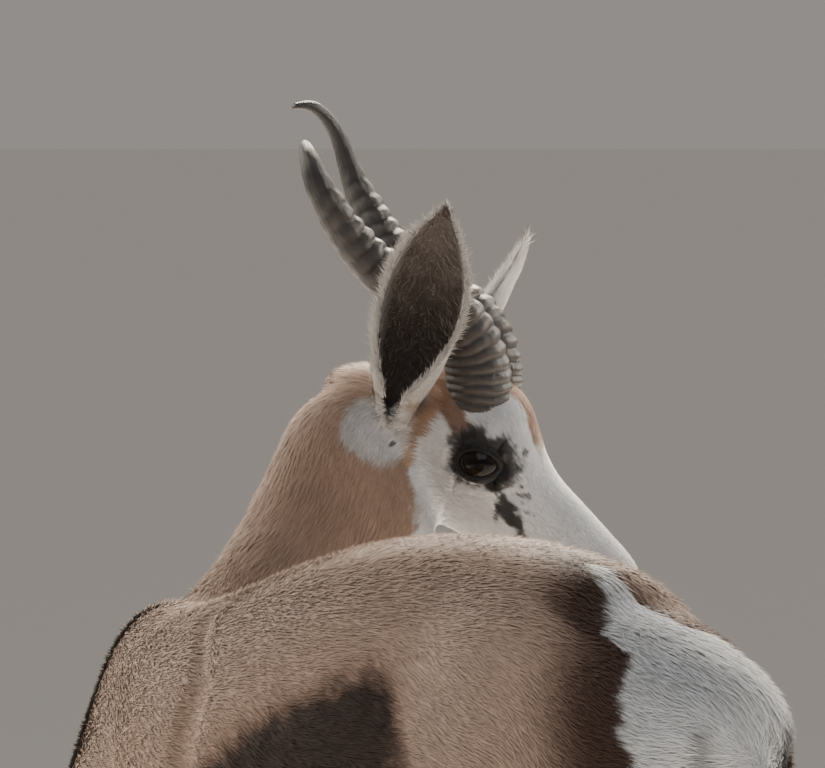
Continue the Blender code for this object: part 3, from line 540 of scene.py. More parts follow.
@dataclass(frozen=True)
class EarShape:
    """One ear: a leaf with a hollow cup whose rims draw together into a slot above the root."""

    side: Side
    root: tuple[float, float, float]
    tip: tuple[float, float, float]
    facing: tuple[float, float, float]
    wall: float = 0.0022

    def axes(self) -> tuple[Array, Array, Array, Array, float]:
        """Root, unit axis, front, sideways direction and length."""
        root, tip = np.array(self.root), np.array(self.tip)
        length = float(np.linalg.norm(tip - root))
        axis = (tip - root) / length
        front = np.array(self.facing)
        front = unit(front - axis * (front @ axis))
        return root, axis, front, np.cross(front, axis), length

    def sizes(self, t: Array) -> tuple[Array, Array]:
        """Half width and depth of the cup at t from the root, 0, to the tip, 1."""
        wide = np.interp(t, (-0.1, 0.0, 0.14, 0.22, 0.31, 0.4, 0.5, 0.6, 0.7, 0.79, 0.87, 0.94, 1.0),
                         (0.010, 0.0175, 0.0240, 0.0275, 0.0300, 0.0325, 0.0335, 0.0325, 0.0290, 0.0230,
                          0.0160,
                          0.0085, 0.0010))
        if self.side is Side.LEFT:
            wide = wide * np.interp(t, (0.05, 0.30, 0.62), (1.0, 0.76, 1.0))
        deep = np.interp(t, (-0.1, 0.0, 0.14, 0.31, 0.6, 0.87, 1.0),
                         (0.008, 0.012, 0.0185, 0.0205, 0.0150, 0.0070, 0.0015))
        return wide, deep

    def surface(self) -> Array:
        """The ear as rings from the root to the tip, in the head's frame.

        At t the outer wall is (w sin a, -d cos a) for a from -A to A, where A falls from almost a full
        turn at the root to a half turn at mid length, and the inner wall comes back at w and d less the
        wall's thickness, which fills the cup near the root.
        """
        root, axis, front, across, length = self.axes()
        t = np.concatenate([[-0.10, -0.04], np.linspace(0.02, 0.99, 58)])
        wide, deep = (x[:, None] for x in self.sizes(t))
        open_to = np.interp(t, (0.0, 0.10, 0.22, 0.38, 0.55, 1.0), (166, 156, 130, 104, 92, 90))[:, None]
        hollow = rise(t, -0.02, 0.07)[:, None]
        a = np.radians(np.linspace(-1, 1, 25)[None] * open_to)
        thick = np.minimum(self.wall, 0.45 * deep)
        fold = 1 + 0.035 * np.sin(3.0 * a + 9.0 * t[:, None]) * rise(t, 0.2, 0.5)[:, None]
        outer = np.stack([wide * np.sin(a), -deep * np.cos(a) * fold], axis=-1)
        back = a[:, ::-1]
        inner_w = wide - thick - (1 - hollow) * 0.55 * wide
        inner_d = deep - thick - (1 - hollow) * 0.55 * deep
        inner = np.stack([inner_w * np.sin(back), -inner_d * np.cos(back) * fold[:, ::-1]], axis=-1)
        loop = np.concatenate([outer, inner], axis=1)
        lean = 0.010 * np.sin(math.pi * np.clip(t, 0, 1))[:, None]
        middle = root + axis * (t[:, None] * length) + front * (0.5 * deep - lean)
        return middle[:, None] + loop[..., :1] * across + loop[..., 1:] * front

    def local(self, q: Array) -> tuple[Array, Array, Array]:
        """How far along the ear a point lies, from 0 to 1, and its places sideways and to the front."""
        root, axis, front, across, length = self.axes()
        d = q - root
        t = d @ axis / length
        lean = 0.010 * np.sin(math.pi * np.clip(t, 0, 1))
        return t, d @ across, d @ front - 0.5 * self.sizes(t)[1] + lean

    def holds(self, q: Array) -> Array:
        """True for points that lie on the free part of this ear."""
        t, x, z = self.local(q)
        wide, deep = self.sizes(t)
        within = (np.abs(x) < wide + 0.006) & (z > -deep - 0.005) & (z < deep + 0.007)
        return (t > -0.03) & (t < 1.08) & within


EARS = {
    Side.RIGHT: EarShape(Side.RIGHT, (-0.0505, -0.0440, -0.0790), (-0.1485, -0.1240, 0.0570),
                         (0.10, -0.95, -0.30)),
    Side.LEFT: EarShape(Side.LEFT, (-0.0505, 0.0440, -0.0790), (-0.1001, 0.1180, 0.0491),
                        (-0.935, -0.115, -0.296)),
}


# The lie of the hair


@dataclass
class Bones:
    """Points along the middle of each limb, with the way that the hair over them lies.

    At a point p the lie is the sum of the bones' ways, each weighed by (radius / distance)^5.
    """

    place: list = field(default_factory=list)
    way: list = field(default_factory=list)
    size: list = field(default_factory=list)
    limb: list = field(default_factory=list)
    reach: list = field(default_factory=list)
    side: list = field(default_factory=list)

    def add(self, limb: int, centres: Array, ways: Array, sizes: Array) -> None:
        """Adds one limb's points."""
        self.place.append(centres)
        self.way.append(unit(ways))
        self.size.append(sizes)
        self.limb.append(np.full(len(centres), limb))
        self.reach.append(np.arange(len(centres)) / max(len(centres) - 1, 1))
        side, _, _ = ring_frames(centres, np.tile([0.31, 0.12, 0.94], (len(centres), 1)))
        self.side.append(side)

    def done(self) -> "Bones":
        """Joins the lists to arrays."""
        for name in ("place", "way", "size", "limb", "reach", "side"):
            setattr(self, name, np.concatenate(getattr(self, name)))
        return self

    def read(self, p: Array) -> tuple[Array, Array, Array, Array]:
        """The lie, limb, place along the limb and turn round it, from 0 to 1, at each point."""
        lies, limbs, reaches, turns = [], [], [], []
        for part in np.array_split(p, max(1, len(p) // 40000)):
            d = part[:, None] - self.place[None]
            far = np.maximum(np.linalg.norm(d, axis=2) / self.size[None], 0.05)
            w = far ** -5
            lies.append((w / w.sum(1, keepdims=True)) @ self.way)
            near = far.argmin(1)
            off = part - self.place[near]
            side = self.side[near]
            along = self.way[near]
            up = np.cross(side, along)
            turns.append(np.arctan2((off * side).sum(1), (off * up).sum(1)) / (2 * math.pi) + 0.5)
            limbs.append(self.limb[near])
            reaches.append(self.reach[near] + 0.5 * (off * along).sum(1) / 0.9)
        return np.concatenate(lies), np.concatenate(limbs), np.concatenate(reaches), np.concatenate(turns)


NECK_LIMB = 5
HEAD_LIMB = 6


def ram_bones() -> Bones:
    """The bones of the whole ram, by limb: 0 trunk, 1-4 legs, 5 neck, 6 head, 7 tail, 8 and 9 ears."""
    bones = Bones()
    rows = smooth_rows(TRUNK, 2)
    centres = np.stack([0 * rows[:, 0], rows[:, 0], 0.5 * (rows[:, 1] + rows[:, 3])], axis=1)[::-1]
    bones.add(0, centres, np.tile([0.0, 1.0, -0.12], (len(centres), 1)),
              0.5 * (rows[::-1, 1] - rows[::-1, 3]))
    for limb, (table, side) in enumerate(((HIND_LEG, 1), (HIND_LEG, -1), (FORE_LEG, 1), (FORE_LEG, -1)), 1):
        rows = smooth_rows(table, 2)
        centres = np.stack([side * rows[:, 2], rows[:, 0], rows[:, 1]], axis=1)
        back = 0.15 + 1.3 * rise(rows[:, 1], 0.47, 0.66)
        way = unit(np.gradient(centres, axis=0)) + back[:, None] * np.array([0.0, 1.0, 0.0])
        bones.add(limb, centres, way, rows[:, 3:6].mean(1) * 1.05)
    rows = smooth_rows(NECK, 3)[::-1]
    bones.add(NECK_LIMB, rows[:, :3], np.gradient(rows[:, :3], axis=0) + np.array([0.0, 0.0, -0.004]),
              rows[:, 3:6].mean(1))
    x = np.linspace(0.175, -0.085, 14)
    q = np.stack([x, 0 * x, np.interp(x, [-0.1, 0.0, 0.18], [-0.100, -0.070, -0.042])], axis=1)
    way = np.tile([-1.0, 0.0, -0.22], (14, 1)) @ HEAD_FRAME.axes().T
    bones.add(HEAD_LIMB, HEAD_FRAME.out(q), way, np.interp(x, [-0.1, 0.0, 0.1, 0.18],
                                                           [0.050, 0.058, 0.034, 0.024]))
    rows = smooth_rows(TAIL, 2)
    bones.add(7, rows[:, :3], np.gradient(rows[:, :3], axis=0), rows[:, 3] * 1.1)
    for limb, side in ((8, Side.LEFT), (9, Side.RIGHT)):
        root, axis, _, _, length = EARS[side].axes()
        t = np.linspace(0.15, 1.0, 8)[:, None]
        q = root + axis * t * length
        bones.add(limb, HEAD_FRAME.out(q), np.tile(HEAD_FRAME.axes() @ axis, (8, 1)), np.full(8, 0.032))
    return bones.done()


BONES = ram_bones()


# Markings


@dataclass(frozen=True)
class Palette:
    """The coat's colours, linear."""

    fawn: tuple = (0.370, 0.258, 0.196)
    back: tuple = (0.325, 0.220, 0.162)
    haunch: tuple = (0.425, 0.312, 0.250)
    chestnut: tuple = (0.100, 0.044, 0.028)
    brown: tuple = (0.170, 0.085, 0.048)
    stripe: tuple = (0.028, 0.017, 0.014)
    white: tuple = (0.640, 0.640, 0.645)
    grey: tuple = (0.440, 0.420, 0.405)
    black: tuple = (0.010, 0.009, 0.010)
    tan: tuple = (0.330, 0.205, 0.130)
    leg: tuple = (0.420, 0.300, 0.215)
    ear_back: tuple = (0.520, 0.490, 0.470)
    ear_inside: tuple = (0.028, 0.020, 0.017)
    ear_hair: tuple = (0.150, 0.125, 0.112)
    skin: tuple = (0.020, 0.015, 0.014)


TONES = Palette()

# How far the edges of the markings wander: height, size and seed of each noise.
RAGGED = ((0.0035, 0.016, 1), (0.0025, 0.006, 2), (0.0015, 0.0025, 3))

# Front edge of the white rump patch: distance behind the withers against the turn about the trunk from the
# ridge, in degrees, positive on the left. Below z = 0.7 the turn goes on at 400 degrees to a metre.
RUMP_EDGE = ((-210, 0.335), (-170, 0.300), (-150, 0.318), (-130, 0.333), (-110, 0.345), (-90, 0.355),
             (-64, 0.338),
             (-50, 0.323), (-35, 0.316), (-22, 0.302), (-8, 0.297), (-3, 0.288), (-0.5, 0.250), (1, 0.205),
             (4, 0.197),
             (8.4, 0.222), (11.3, 0.243), (20.9, 0.262), (26.8, 0.271), (29.8, 0.288), (32, 0.305),
             (38, 0.313),
             (48, 0.313), (58, 0.316), (70, 0.324), (89, 0.337), (110, 0.338), (130, 0.330), (150, 0.318),
             (170, 0.300), (210, 0.335))

# Radius of the dark patch round the eye, against the turn about the eye's centre in degrees.
EYE_PATCH = ((-180, 0.0340), (-153, 0.0300), (-131, 0.0250), (-99, 0.0215), (-57, 0.0195), (-25, 0.0235),
             (-2, 0.0345),
             (22, 0.0335), (44, 0.0325), (72, 0.0295), (96, 0.0275), (125, 0.0275), (157, 0.0290),
             (180, 0.0340))


# Upper and lower edge of the dark flank stripe, as heights against y.
STRIPE_TOP = ((-0.34, 0.560), (-0.27, 0.600), (-0.13, 0.672), (-0.098, 0.690), (-0.069, 0.706),
              (-0.036, 0.723),
              (-0.003, 0.737), (0.038, 0.751), (0.063, 0.758), (0.085, 0.752), (0.10, 0.730), (0.13, 0.665),
              (0.17, 0.600))
STRIPE_LOW = ((-0.34, 0.530), (-0.27, 0.515), (-0.10, 0.560), (0.0, 0.590), (0.08, 0.605), (0.14, 0.600),
              (0.18, 0.58))

# Middle lines in the x, z plane of the head: tan strip behind the cheek, brown strip before the ear and
# tear stripe.
CHEEK_STRIP = ((-0.050, -0.042), (-0.040, -0.052), (-0.029, -0.063), (-0.021, -0.075), (-0.018, -0.088),
               (-0.009, -0.099), (-0.003, -0.106))
EAR_STRIP = ((-0.046, -0.036), (-0.034, -0.042), (-0.019, -0.047), (-0.004, -0.053))
TEAR_STRIPE = ((0.040, -0.050), (0.056, -0.056), (0.070, -0.0590), (0.086, -0.0610), (0.110, -0.0640),
               (0.136, -0.068))

# Dark flecks round the eye: strokes from one x, z to another with their width, and spots at x, z with
# their radius.
STROKES = (((0.060, -0.049), (0.070, -0.040), 0.0011), ((0.072, -0.052), (0.084, -0.045), 0.0010),
           ((0.062, -0.064), (0.070, -0.072), 0.0009))
SPOTS = ((0.0405, -0.0215, 0.0022), (0.060, -0.0395, 0.0018), (0.072, -0.046, 0.0012),
         (-0.018, -0.088, 0.0011), (-0.010, -0.094, 0.0009), (-0.026, -0.102, 0.0010))


def along_table(x: Array, table: Sequence) -> Array:
    """The value of a table of pairs at x, with straight lines between its rows."""
    return np.interp(x, *zip(*table))


def near_path(x: Array, z: Array, path: Sequence) -> tuple[Array, Array]:
    """Distance to a broken line in the x, z plane and the share of the way along it."""
    rows = smooth_rows(path, 6)
    d = np.hypot(x[:, None] - rows[None, :, 0], z[:, None] - rows[None, :, 1])
    return d.min(1), d.argmin(1) / (len(rows) - 1)


class Markings:
    """The pattern of the coat as a function of the place on the body."""

    def __init__(self, p: Array, normal: Array) -> None:
        """Keeps the points, in the ram's and the head's frame, and their normals."""
        self.p = p
        self.normal = normal
        self.q = HEAD_FRAME.into(p)
        self.colour = np.tile(TONES.fawn, (len(p), 1))
        self.ragged = sum(height * noise(p, size, seed) for height, size, seed in RAGGED)
        x, y, z = self.q.T
        self.on_head = (x > -0.105) & (z > -0.175) & (x < 0.2) & (np.abs(y) < 0.075) & (z < 0.03)
        self.outer_side = self.on_head * (np.abs(y) > 0.018)

    def paint(self, tone: Sequence[float], mask: Array) -> None:
        """Mixes a tone in by a mask from 0 to 1."""
        self.colour += (np.array(tone) - self.colour) * np.clip(mask, 0, 1)[:, None]

    def body(self) -> None:
        """Back, haunch, flank stripe, rump patch, belly and legs."""
        x, y, z = self.p.T
        r = self.ragged
        side = np.abs(x)
        self.paint(TONES.back, rise(z, 0.72, 0.83) * 0.8)
        self.paint(TONES.haunch, hill(y, 0.155, 0.085) * hill(z, 0.72, 0.12) * 0.9)
        turn = np.degrees(np.arctan2(side, np.maximum(z - 0.70, 0.0))) + 400 * np.maximum(0.70 - z, 0.0)
        edge = along_table(turn * np.sign(x), RUMP_EDGE)
        flushed = rise(y - edge, -0.085, -0.020) * rise(z, 0.52, 0.66)
        self.paint(TONES.chestnut, flushed * 0.93)
        # Painted shade: on the ram's left half (x > 0) the chestnut border is darkened further towards the
        # stripe's tone. This stands in for shade and is not a marking.
        self.paint(TONES.stripe, flushed * rise(x, -0.004, 0.008) * 0.6)
        self.paint(TONES.chestnut, hill(side, 0.0, 0.030) * rise(y, 0.02, 0.14) * rise(z, 0.82, 0.84) * 0.35)
        top, low = along_table(y, STRIPE_TOP), along_table(y, STRIPE_LOW)
        stripe = rise(top - z + 2.2 * r, -0.006, 0.018) * rise(z - low + r, -0.003, 0.004)
        stripe *= rise(y, -0.335, -0.285) * (1 - rise(y + 2.5 * r, 0.085, 0.150))
        reddish = rise(top + 0.010 - z + 2 * r, -0.010, 0.016) * rise(z - low + r, -0.003, 0.004)
        reddish *= rise(y, -0.335, -0.285) * (1 - rise(y + 2.5 * r, 0.110, 0.190))
        legs = rise(0.50 - z, 0.0, 0.06)
        self.paint(TONES.leg, legs)
        on_trunk = 1 - rise(0.47 - z, 0.0, 0.02)
        self.paint(TONES.chestnut, reddish * 0.55)
        self.paint(TONES.stripe, stripe * 0.97)
        belly = rise(low - z + r, -0.003, 0.004) * rise(y, -0.36, -0.30) * (1 - rise(y, 0.15, 0.19))
        outer = rise(side, 0.085, 0.100) * (rise(y, 0.08, 0.14) + (1 - rise(y, -0.26, -0.20))) * (1 - legs)
        self.paint(TONES.white, belly * on_trunk * (1 - outer * 0.85))
        centre = np.where(y > 0, np.interp(z, (0.0, 0.41, 0.53, 0.61), (0.083, 0.085, 0.079, 0.066)),
                          np.interp(z, (0.0, 0.27, 0.41, 0.54), (0.066, 0.067, 0.070, 0.064)))
        inner = rise(centre - side + 0.6 * r, -0.001, 0.008) * rise(0.60 - z, 0.0, 0.05)
        self.paint(TONES.white, inner)
        self.paint(TONES.white, rise(y - edge + 1.3 * r, -0.003, 0.004) * rise(z, 0.40, 0.46))
        between = rise(0.078 - side + r, 0.0, 0.010) * rise(0.67 - z, 0.0, 0.05) * rise(y, 0.17, 0.21)
        self.paint(TONES.white, between)
        below = 1 - rise(z, 0.722, 0.734)
        streak = hill(side, 0.0405, 0.0052) * hill(y, 0.356, 0.02) * rise(z, 0.675, 0.69) * below
        self.paint(TONES.skin, streak * 1.2 * (y > 0.3))
        streak = hill(side, 0.0155, 0.0035) * rise(z, 0.665, 0.68) * below * rise(y, 0.35, 0.362)
        self.paint(TONES.skin, streak * 0.9 * (y < 0.375))
        self.paint(TONES.leg, rise(0.30 - z, 0, 0.1) * inner * 0.25)
        self.paint(TONES.chestnut, hill(z, 0.052, 0.014) * 0.35)
        for cx, cy, cz in DEW_CLAWS:
            far = np.sqrt((np.abs(side - cx) - 0.010) ** 2 + (y - cy) ** 2 + (z - cz) ** 2)
            self.paint(TONES.skin, (1 - rise(far, 0.008, 0.011)) * (y > cy - 0.004))

    def tail(self) -> None:
        """A white tail with black hair at its end."""
        x, y, z = self.p.T
        near = (np.abs(x) < 0.030) & (y > 0.374) & (z < 0.735)
        self.paint(TONES.white, near)
        self.paint(TONES.black, near * (1 - rise(z + self.ragged, 0.560, 0.600)))

    def face(self) -> None:
        """White face, fawn crown, brown forehead, strips behind the cheek and pale hair at the ear's root."""
        x, y, z = self.q.T
        side = np.abs(y)
        r = self.ragged
        throat = np.interp(x, (-0.05, -0.03, 0.005, 0.02, 0.04, 0.06),
                           (-0.075, -0.085, -0.107, -0.113, -0.124, -0.19))
        white = self.on_head * rise(z - throat + 1.2 * r, -0.003, 0.004) * rise(x + r, -0.050, -0.040)
        self.paint(TONES.white, white)
        self.paint(TONES.fawn, self.on_head * rise(-x + r, 0.020, 0.032) * rise(z, -0.085, -0.070))
        d, t = near_path(x, z, CHEEK_STRIP)
        strip = (1 - rise(d + 1.4 * r - 0.004 * (1 - t), 0.0050, 0.0090)) * (1 - rise(t, 0.85, 1.0))
        self.paint(TONES.tan, self.on_head * (side > 0.02) * strip * 0.9)
        brown = (1 - rise(side + 1.6 * r, 0.013, 0.020)) * (1 - rise(x + 2 * r, 0.030, 0.052))
        brown = self.on_head * brown * rise(z, -0.05, -0.03)
        streaks = 0.5 + 0.5 * noise(self.q * np.array([0.35, 1.0, 1.0]), 0.0035, 17)
        self.paint(TONES.tan, brown * 0.9)
        self.paint(TONES.brown, brown * np.clip(0.35 + 0.8 * streaks, 0, 1))
        d, _ = near_path(x, z, EAR_STRIP)
        self.paint(TONES.brown, self.on_head * (side > 0.022) * (1 - rise(d + 1.3 * r, 0.0065, 0.0110))
                   * 0.92)
        root = np.sqrt((x + 0.040) ** 2 + (side - 0.056) ** 2 + (z + 0.100) ** 2)
        self.paint(TONES.grey, self.on_head * (1 - rise(root + 1.5 * r, 0.024, 0.034)))
        self.paint(TONES.white, self.on_head * (1 - rise(root + 1.5 * r, 0.014, 0.030)) * 0.7)

    def eye_patch(self) -> None:
        """The dark patch round the eye, the tear stripe that breaks up towards the mouth, and flecks."""
        x, _, z = self.q.T
        r = self.ragged
        dx, dz = x - EYE.centre[0], z - EYE.centre[2]
        far = np.hypot(dx, dz)
        limit = along_table(np.degrees(np.arctan2(dz, dx)), EYE_PATCH)
        streaky = 0.0022 * noise(self.q * np.array([1.0, 1.0, 2.6]), 0.004, 9)
        patch = self.outer_side * (1 - rise(far - limit + 1.4 * r + 1.4 * streaky, -0.0060, 0.0030))
        self.paint(TONES.black, patch * 0.95)
        lashed = 0.5 + 0.5 * noise(self.q * np.array([1.0, 1.0, 0.4]), 0.0022, 19)
        self.paint(TONES.grey, patch * lashed * rise(far, 0.022, 0.032) * 0.28)
        d, _ = near_path(x, z, TEAR_STRIPE)
        width = np.interp(x, (0.045, 0.060, 0.085, 0.110, 0.136), (0.0085, 0.0062, 0.0058, 0.0040, 0.0025))
        grain = noise(self.q * np.array([0.30, 1.0, 1.7]), 0.0034, 4)
        broken = rise(grain + 1.5 * (1 - d / width), -0.95, -0.05)
        stripe = (1 - rise(d + 1.2 * r, 0.75 * width, 1.35 * width)) * broken * rise(x, 0.034, 0.042)
        stripe = self.outer_side * stripe
        self.paint(TONES.black, stripe * (1 - rise(x, 0.088, 0.105)) * 0.95)
        self.paint(TONES.brown, stripe * rise(x, 0.088, 0.105) * 0.95)
        for start, end, wide in STROKES:
            d, _ = near_path(x, z, (start, end))
            self.paint(TONES.black, self.outer_side * (1 - rise(d + 0.4 * r, 0.5 * wide, 1.5 * wide)) * 0.8)
        for sx, sz, size in SPOTS:
            far = np.hypot(x - sx, (z - sz) * 0.8)
            self.paint(TONES.black, self.outer_side * (1 - rise(far + 0.4 * r, 0.6 * size, 1.3 * size))
                       * 0.8)

    def nose(self) -> None:
        """Bare nose, greying bridge, nostrils and the line between the lips."""
        x, y, z = self.q.T
        side = np.abs(y)
        bare = rise(x, 0.166, 0.176) * rise(z, -0.047, -0.041) * (1 - rise(side, 0.016, 0.021))
        self.paint(TONES.skin, self.on_head * bare)
        self.paint(TONES.grey, self.on_head * rise(x, 0.120, 0.160) * rise(z, -0.035, -0.015) * 0.35)
        pit = np.sqrt(((x - 0.176) / 0.012) ** 2 + ((side - 0.0175) / 0.009) ** 2
                      + ((z + 0.031) / 0.008) ** 2)
        self.paint(TONES.black, self.on_head * (1 - rise(pit, 0.85, 1.2)))
        self.paint(TONES.skin, self.on_head * hill(z, mouth_level(x), 0.0014) * rise(x, 0.112, 0.120) * 0.9)

    def ears(self) -> None:
        """Pale backs with a dark rim, and a dark hollow with paler skin near its edge."""
        facing = self.normal @ HEAD_FRAME.axes()
        for side, ear in EARS.items():
            on = ear.holds(self.q) & (self.q[:, 1] * side.value > 0.03)
            t, x, z = ear.local(self.q)
            wide, _ = ear.sizes(t)
            _, _, front, across, _ = ear.axes()
            look = facing @ across * x + facing @ front * (z + 0.001)
            inside = on & (look < 0) & (t > -0.03)
            outside = on & ~inside
            self.paint(TONES.ear_back, outside * rise(t, 0.02, 0.12))
            self.paint(TONES.tan, outside * rise(t, 0.30, 0.55) * hill(x, 0.0, 0.016) * 0.25)
            self.paint(TONES.ear_inside, inside)
            pale = rise(t + 0.10 * noise(self.p, 0.009, 21), 0.34, 0.86)
            self.paint(TONES.ear_hair, inside * (0.75 * pale + 0.12 * (1 + noise(self.p, 0.003, 22))))
            edge = rise(np.abs(x) / np.maximum(wide, 1e-4), 0.80, 0.97)
            self.paint(TONES.grey, inside * edge * 0.55 * (t < 0.95))
            self.paint(TONES.black, on * rise(t, 0.975, 0.992) * 0.9)

    def read(self) -> Array:
        """The colour of every point."""
        self.body()
        self.tail()
        self.face()
        self.eye_patch()
        self.nose()
        self.ears()
        _, lids = EYE.around(self.q)
        off = np.abs(self.q * (1, 0, 1) - np.array(EYE.centre) * (1, 0, 1))
        near = (np.abs(self.q[:, 1]) > 0.028) & (off[:, 0] < 0.03) & (off[:, 2] < 0.03)
        self.paint(TONES.black, near * (1 - rise(lids, 0.003, 0.006)))
        tone = 1 + 0.10 * noise(self.p, 0.045, 5) + 0.07 * noise(self.p, 0.012, 6)
        return np.clip(self.colour * tone[:, None], 0.003, 0.9)


def mouth_level(x: Array) -> Array:
    """Height of the line between the lips, z = -0.064 + 0.004 t + 0.0045 sin(pi t) for t along it."""
    t = (x - 0.118) / 0.085
    return -0.0640 + 0.0040 * t + 0.0045 * np.sin(math.pi * t)


# Skin


@dataclass
class Skin:
    """The whole flesh of the ram as one closed skin, sunk below the solids by the depth of the coat."""

    coarse: float = 0.0075
    voxel: float = 0.0056
    free: float = 0.52

    def loft(self, name: str, rows: Array, around: int, power: float = 2.0) -> bpy.types.Object:
        """A limb from rows of centre, half width, dorsal and ventral reach and dorsal way."""
        side, top, _ = ring_frames(rows[:, :3], rows[:, 6:9])
        x, y = oval(around, power)
        reach = np.where(y[None] > 0, rows[:, 4:5], rows[:, 5:6]) * y[None]
        across = (rows[:, 3:4] * x[None])[..., None]
        rings = rows[:, None, :3] + side[:, None] * across + top[:, None] * reach[..., None]
        return tube(name, rings)

    def trunk(self) -> bpy.types.Object:
        """The trunk from the buttocks to the brisket."""
        rows = [(0, y, level, wide, top - level, level - under, *UP) for y, top, level, under, wide in TRUNK]
        return self.loft("trunk", smooth_rows(rows, 4), 32, 2.1)

    def leg(self, table: Sequence, side: int, below: float = 2.0) -> bpy.types.Object:
        """A leg on the side of this sign, or only the part of it below a height."""
        rows = smooth_rows([(side * x, y, z, wide, fore, back, *FORE) for y, z, x, wide, fore,
                            back in table], 5)
        return self.loft("leg", rows[rows[:, 2] < below], 24)

    def head(self) -> bpy.types.Object:
        """The skull with its cheeks and muzzle, its sections narrowed below by 1 - 0.45 h^1.5."""
        rows = smooth_rows(HEAD, 5)
        angle = np.linspace(0, 2 * math.pi, 40, endpoint=False)[None]
        power = 2 / rows[:, 5:6]
        across = np.sign(np.cos(angle)) * np.abs(np.cos(angle)) ** power
        height = np.sign(np.sin(angle)) * np.abs(np.sin(angle)) ** power
        top, under, level = (rows[:, k:k + 1] for k in (1, 2, 3))
        z = level + np.where(height > 0, (top - level) * height, (level - under) * height)
        narrow = 1 - 0.45 * np.clip(-height, 0, 1) ** 1.5
        rings = np.stack([np.broadcast_to(rows[:, :1], z.shape), across * rows[:, 4:5] * narrow, z], axis=-1)
        return tube("skull", HEAD_FRAME.out(rings))

    def ball(self, centre: Sequence, radii: Sequence, in_head: bool, count: int = 24) -> bpy.types.Object:
        """A sphere stretched to three radii."""
        turn = np.linspace(0, math.pi, count // 2)[1:-1, None]
        round_ = np.linspace(0, 2 * math.pi, count, endpoint=False)[None]
        rings = np.stack([np.sin(turn) * np.cos(round_), np.sin(turn) * np.sin(round_),
                          np.cos(turn) * np.ones_like(round_)], axis=-1) * np.array(radii) + np.array(centre)
        return tube("ball", HEAD_FRAME.out(rings) if in_head else rings)

    def fused(self) -> bpy.types.Object:
        """Trunk, neck and thighs fused and smoothed, then head, tail and feet fused on."""
        soft = [self.trunk(), self.loft("neck", smooth_rows(NECK, 6), 28)]
        for side in (1, -1):
            soft += [self.leg(HIND_LEG, side), self.leg(FORE_LEG, side)]
        body = with_modifier(joined("body", soft), "REMESH", mode="VOXEL", voxel_size=self.coarse,
                             adaptivity=0.0)
        relax(body, 0.25 * rise(points_of(body)[:, 2], 0.44, 0.60), 12)
        items = [body, self.loft("tail", smooth_rows(TAIL, 5), 14), self.head()]
        for side in (1, -1):
            items += [self.leg(HIND_LEG, side, self.free), self.leg(FORE_LEG, side, self.free)]
            c = EYE.middle(side)
            items.append(self.ball(c - (0, side * 0.004, 0), (0.031, 0.020, 0.027), True))
            items.append(self.ball(c, (EYE.radius + EYE.lid,) * 3, True))
            for x, y, z in DEW_CLAWS:
                for dx in (-0.010, 0.010):
                    items.append(self.ball((side * x + dx, y, z), (0.006, 0.007, 0.011), False, 16))
        whole = with_modifier(joined("skin", items), "REMESH", mode="VOXEL", voxel_size=self.voxel,
                              adaptivity=0.0)
        relax(whole, np.where(points_of(whole)[:, 2] > 0.5, 0.25, 0.10), 4)
        keep_largest(whole)
        return whole

    @staticmethod
    def coat_depth(p: Array) -> Array:
        """How far the skin lies below the solids' surface."""
        q = HEAD_FRAME.into(p)
        depth = np.interp(p[:, 2], (0.0, 0.06, 0.30, 0.45, 0.55), (0.0006, 0.0009, 0.0012, 0.0020, 0.0036))
        near = np.linalg.norm(q - (0.05, 0.0, -0.06), axis=1) < 0.22
        head = rise(q[:, 0], -0.09, -0.03) * rise(q[:, 2], -0.15, -0.12) * near
        small = np.interp(q[:, 0], (-0.03, 0.06, 0.13, 0.18), (0.0018, 0.0014, 0.0010, 0.0004))
        depth = depth + (small - depth) * head
        depth = depth + 0.0075 * hill(np.linalg.norm((q - (-0.085, 0.0, -0.060)) / (1.0, 1.3, 1.0), axis=1),
                                      0.0, 0.034)
        tail = (np.abs(p[:, 0]) < 0.03) & (p[:, 1] > 0.374) & (p[:, 2] < 0.735)
        return np.where(tail, 0.0022, depth)

    @staticmethod
    def muscles(p: Array) -> Array:
        """Small swellings and hollows of the body, outwards where positive."""
        x, y, z = p.T
        side = rise(np.abs(x), 0.030, 0.060)
        blade = np.interp(z, (0.55, 0.66, 0.74, 0.76, 0.785, 0.80),
                          (-0.195, -0.165, -0.156, -0.172, -0.206, -0.215))
        swell = 0.0036 * rise(blade - y, -0.006, 0.014) * rise(y, -0.34, -0.26) * rise(z, 0.55, 0.62)
        swell -= 0.0028 * hill(y - blade, 0.016, 0.016) * rise(z, 0.52, 0.60) * (1 - rise(z, 0.80, 0.82))
        for height, middle_y, wide_y, middle_z, wide_z in MUSCLES:
            swell += height * hill(y, middle_y, wide_y) * hill(z, middle_z, wide_z)
        ribs = 0.0012 * (0.5 + 0.5 * np.cos(y * 2 * math.pi / 0.034))
        swell -= ribs * hill(y, -0.06, 0.09) * hill(z, 0.62, 0.07)
        return np.clip(swell * side, -0.006, 0.0034)

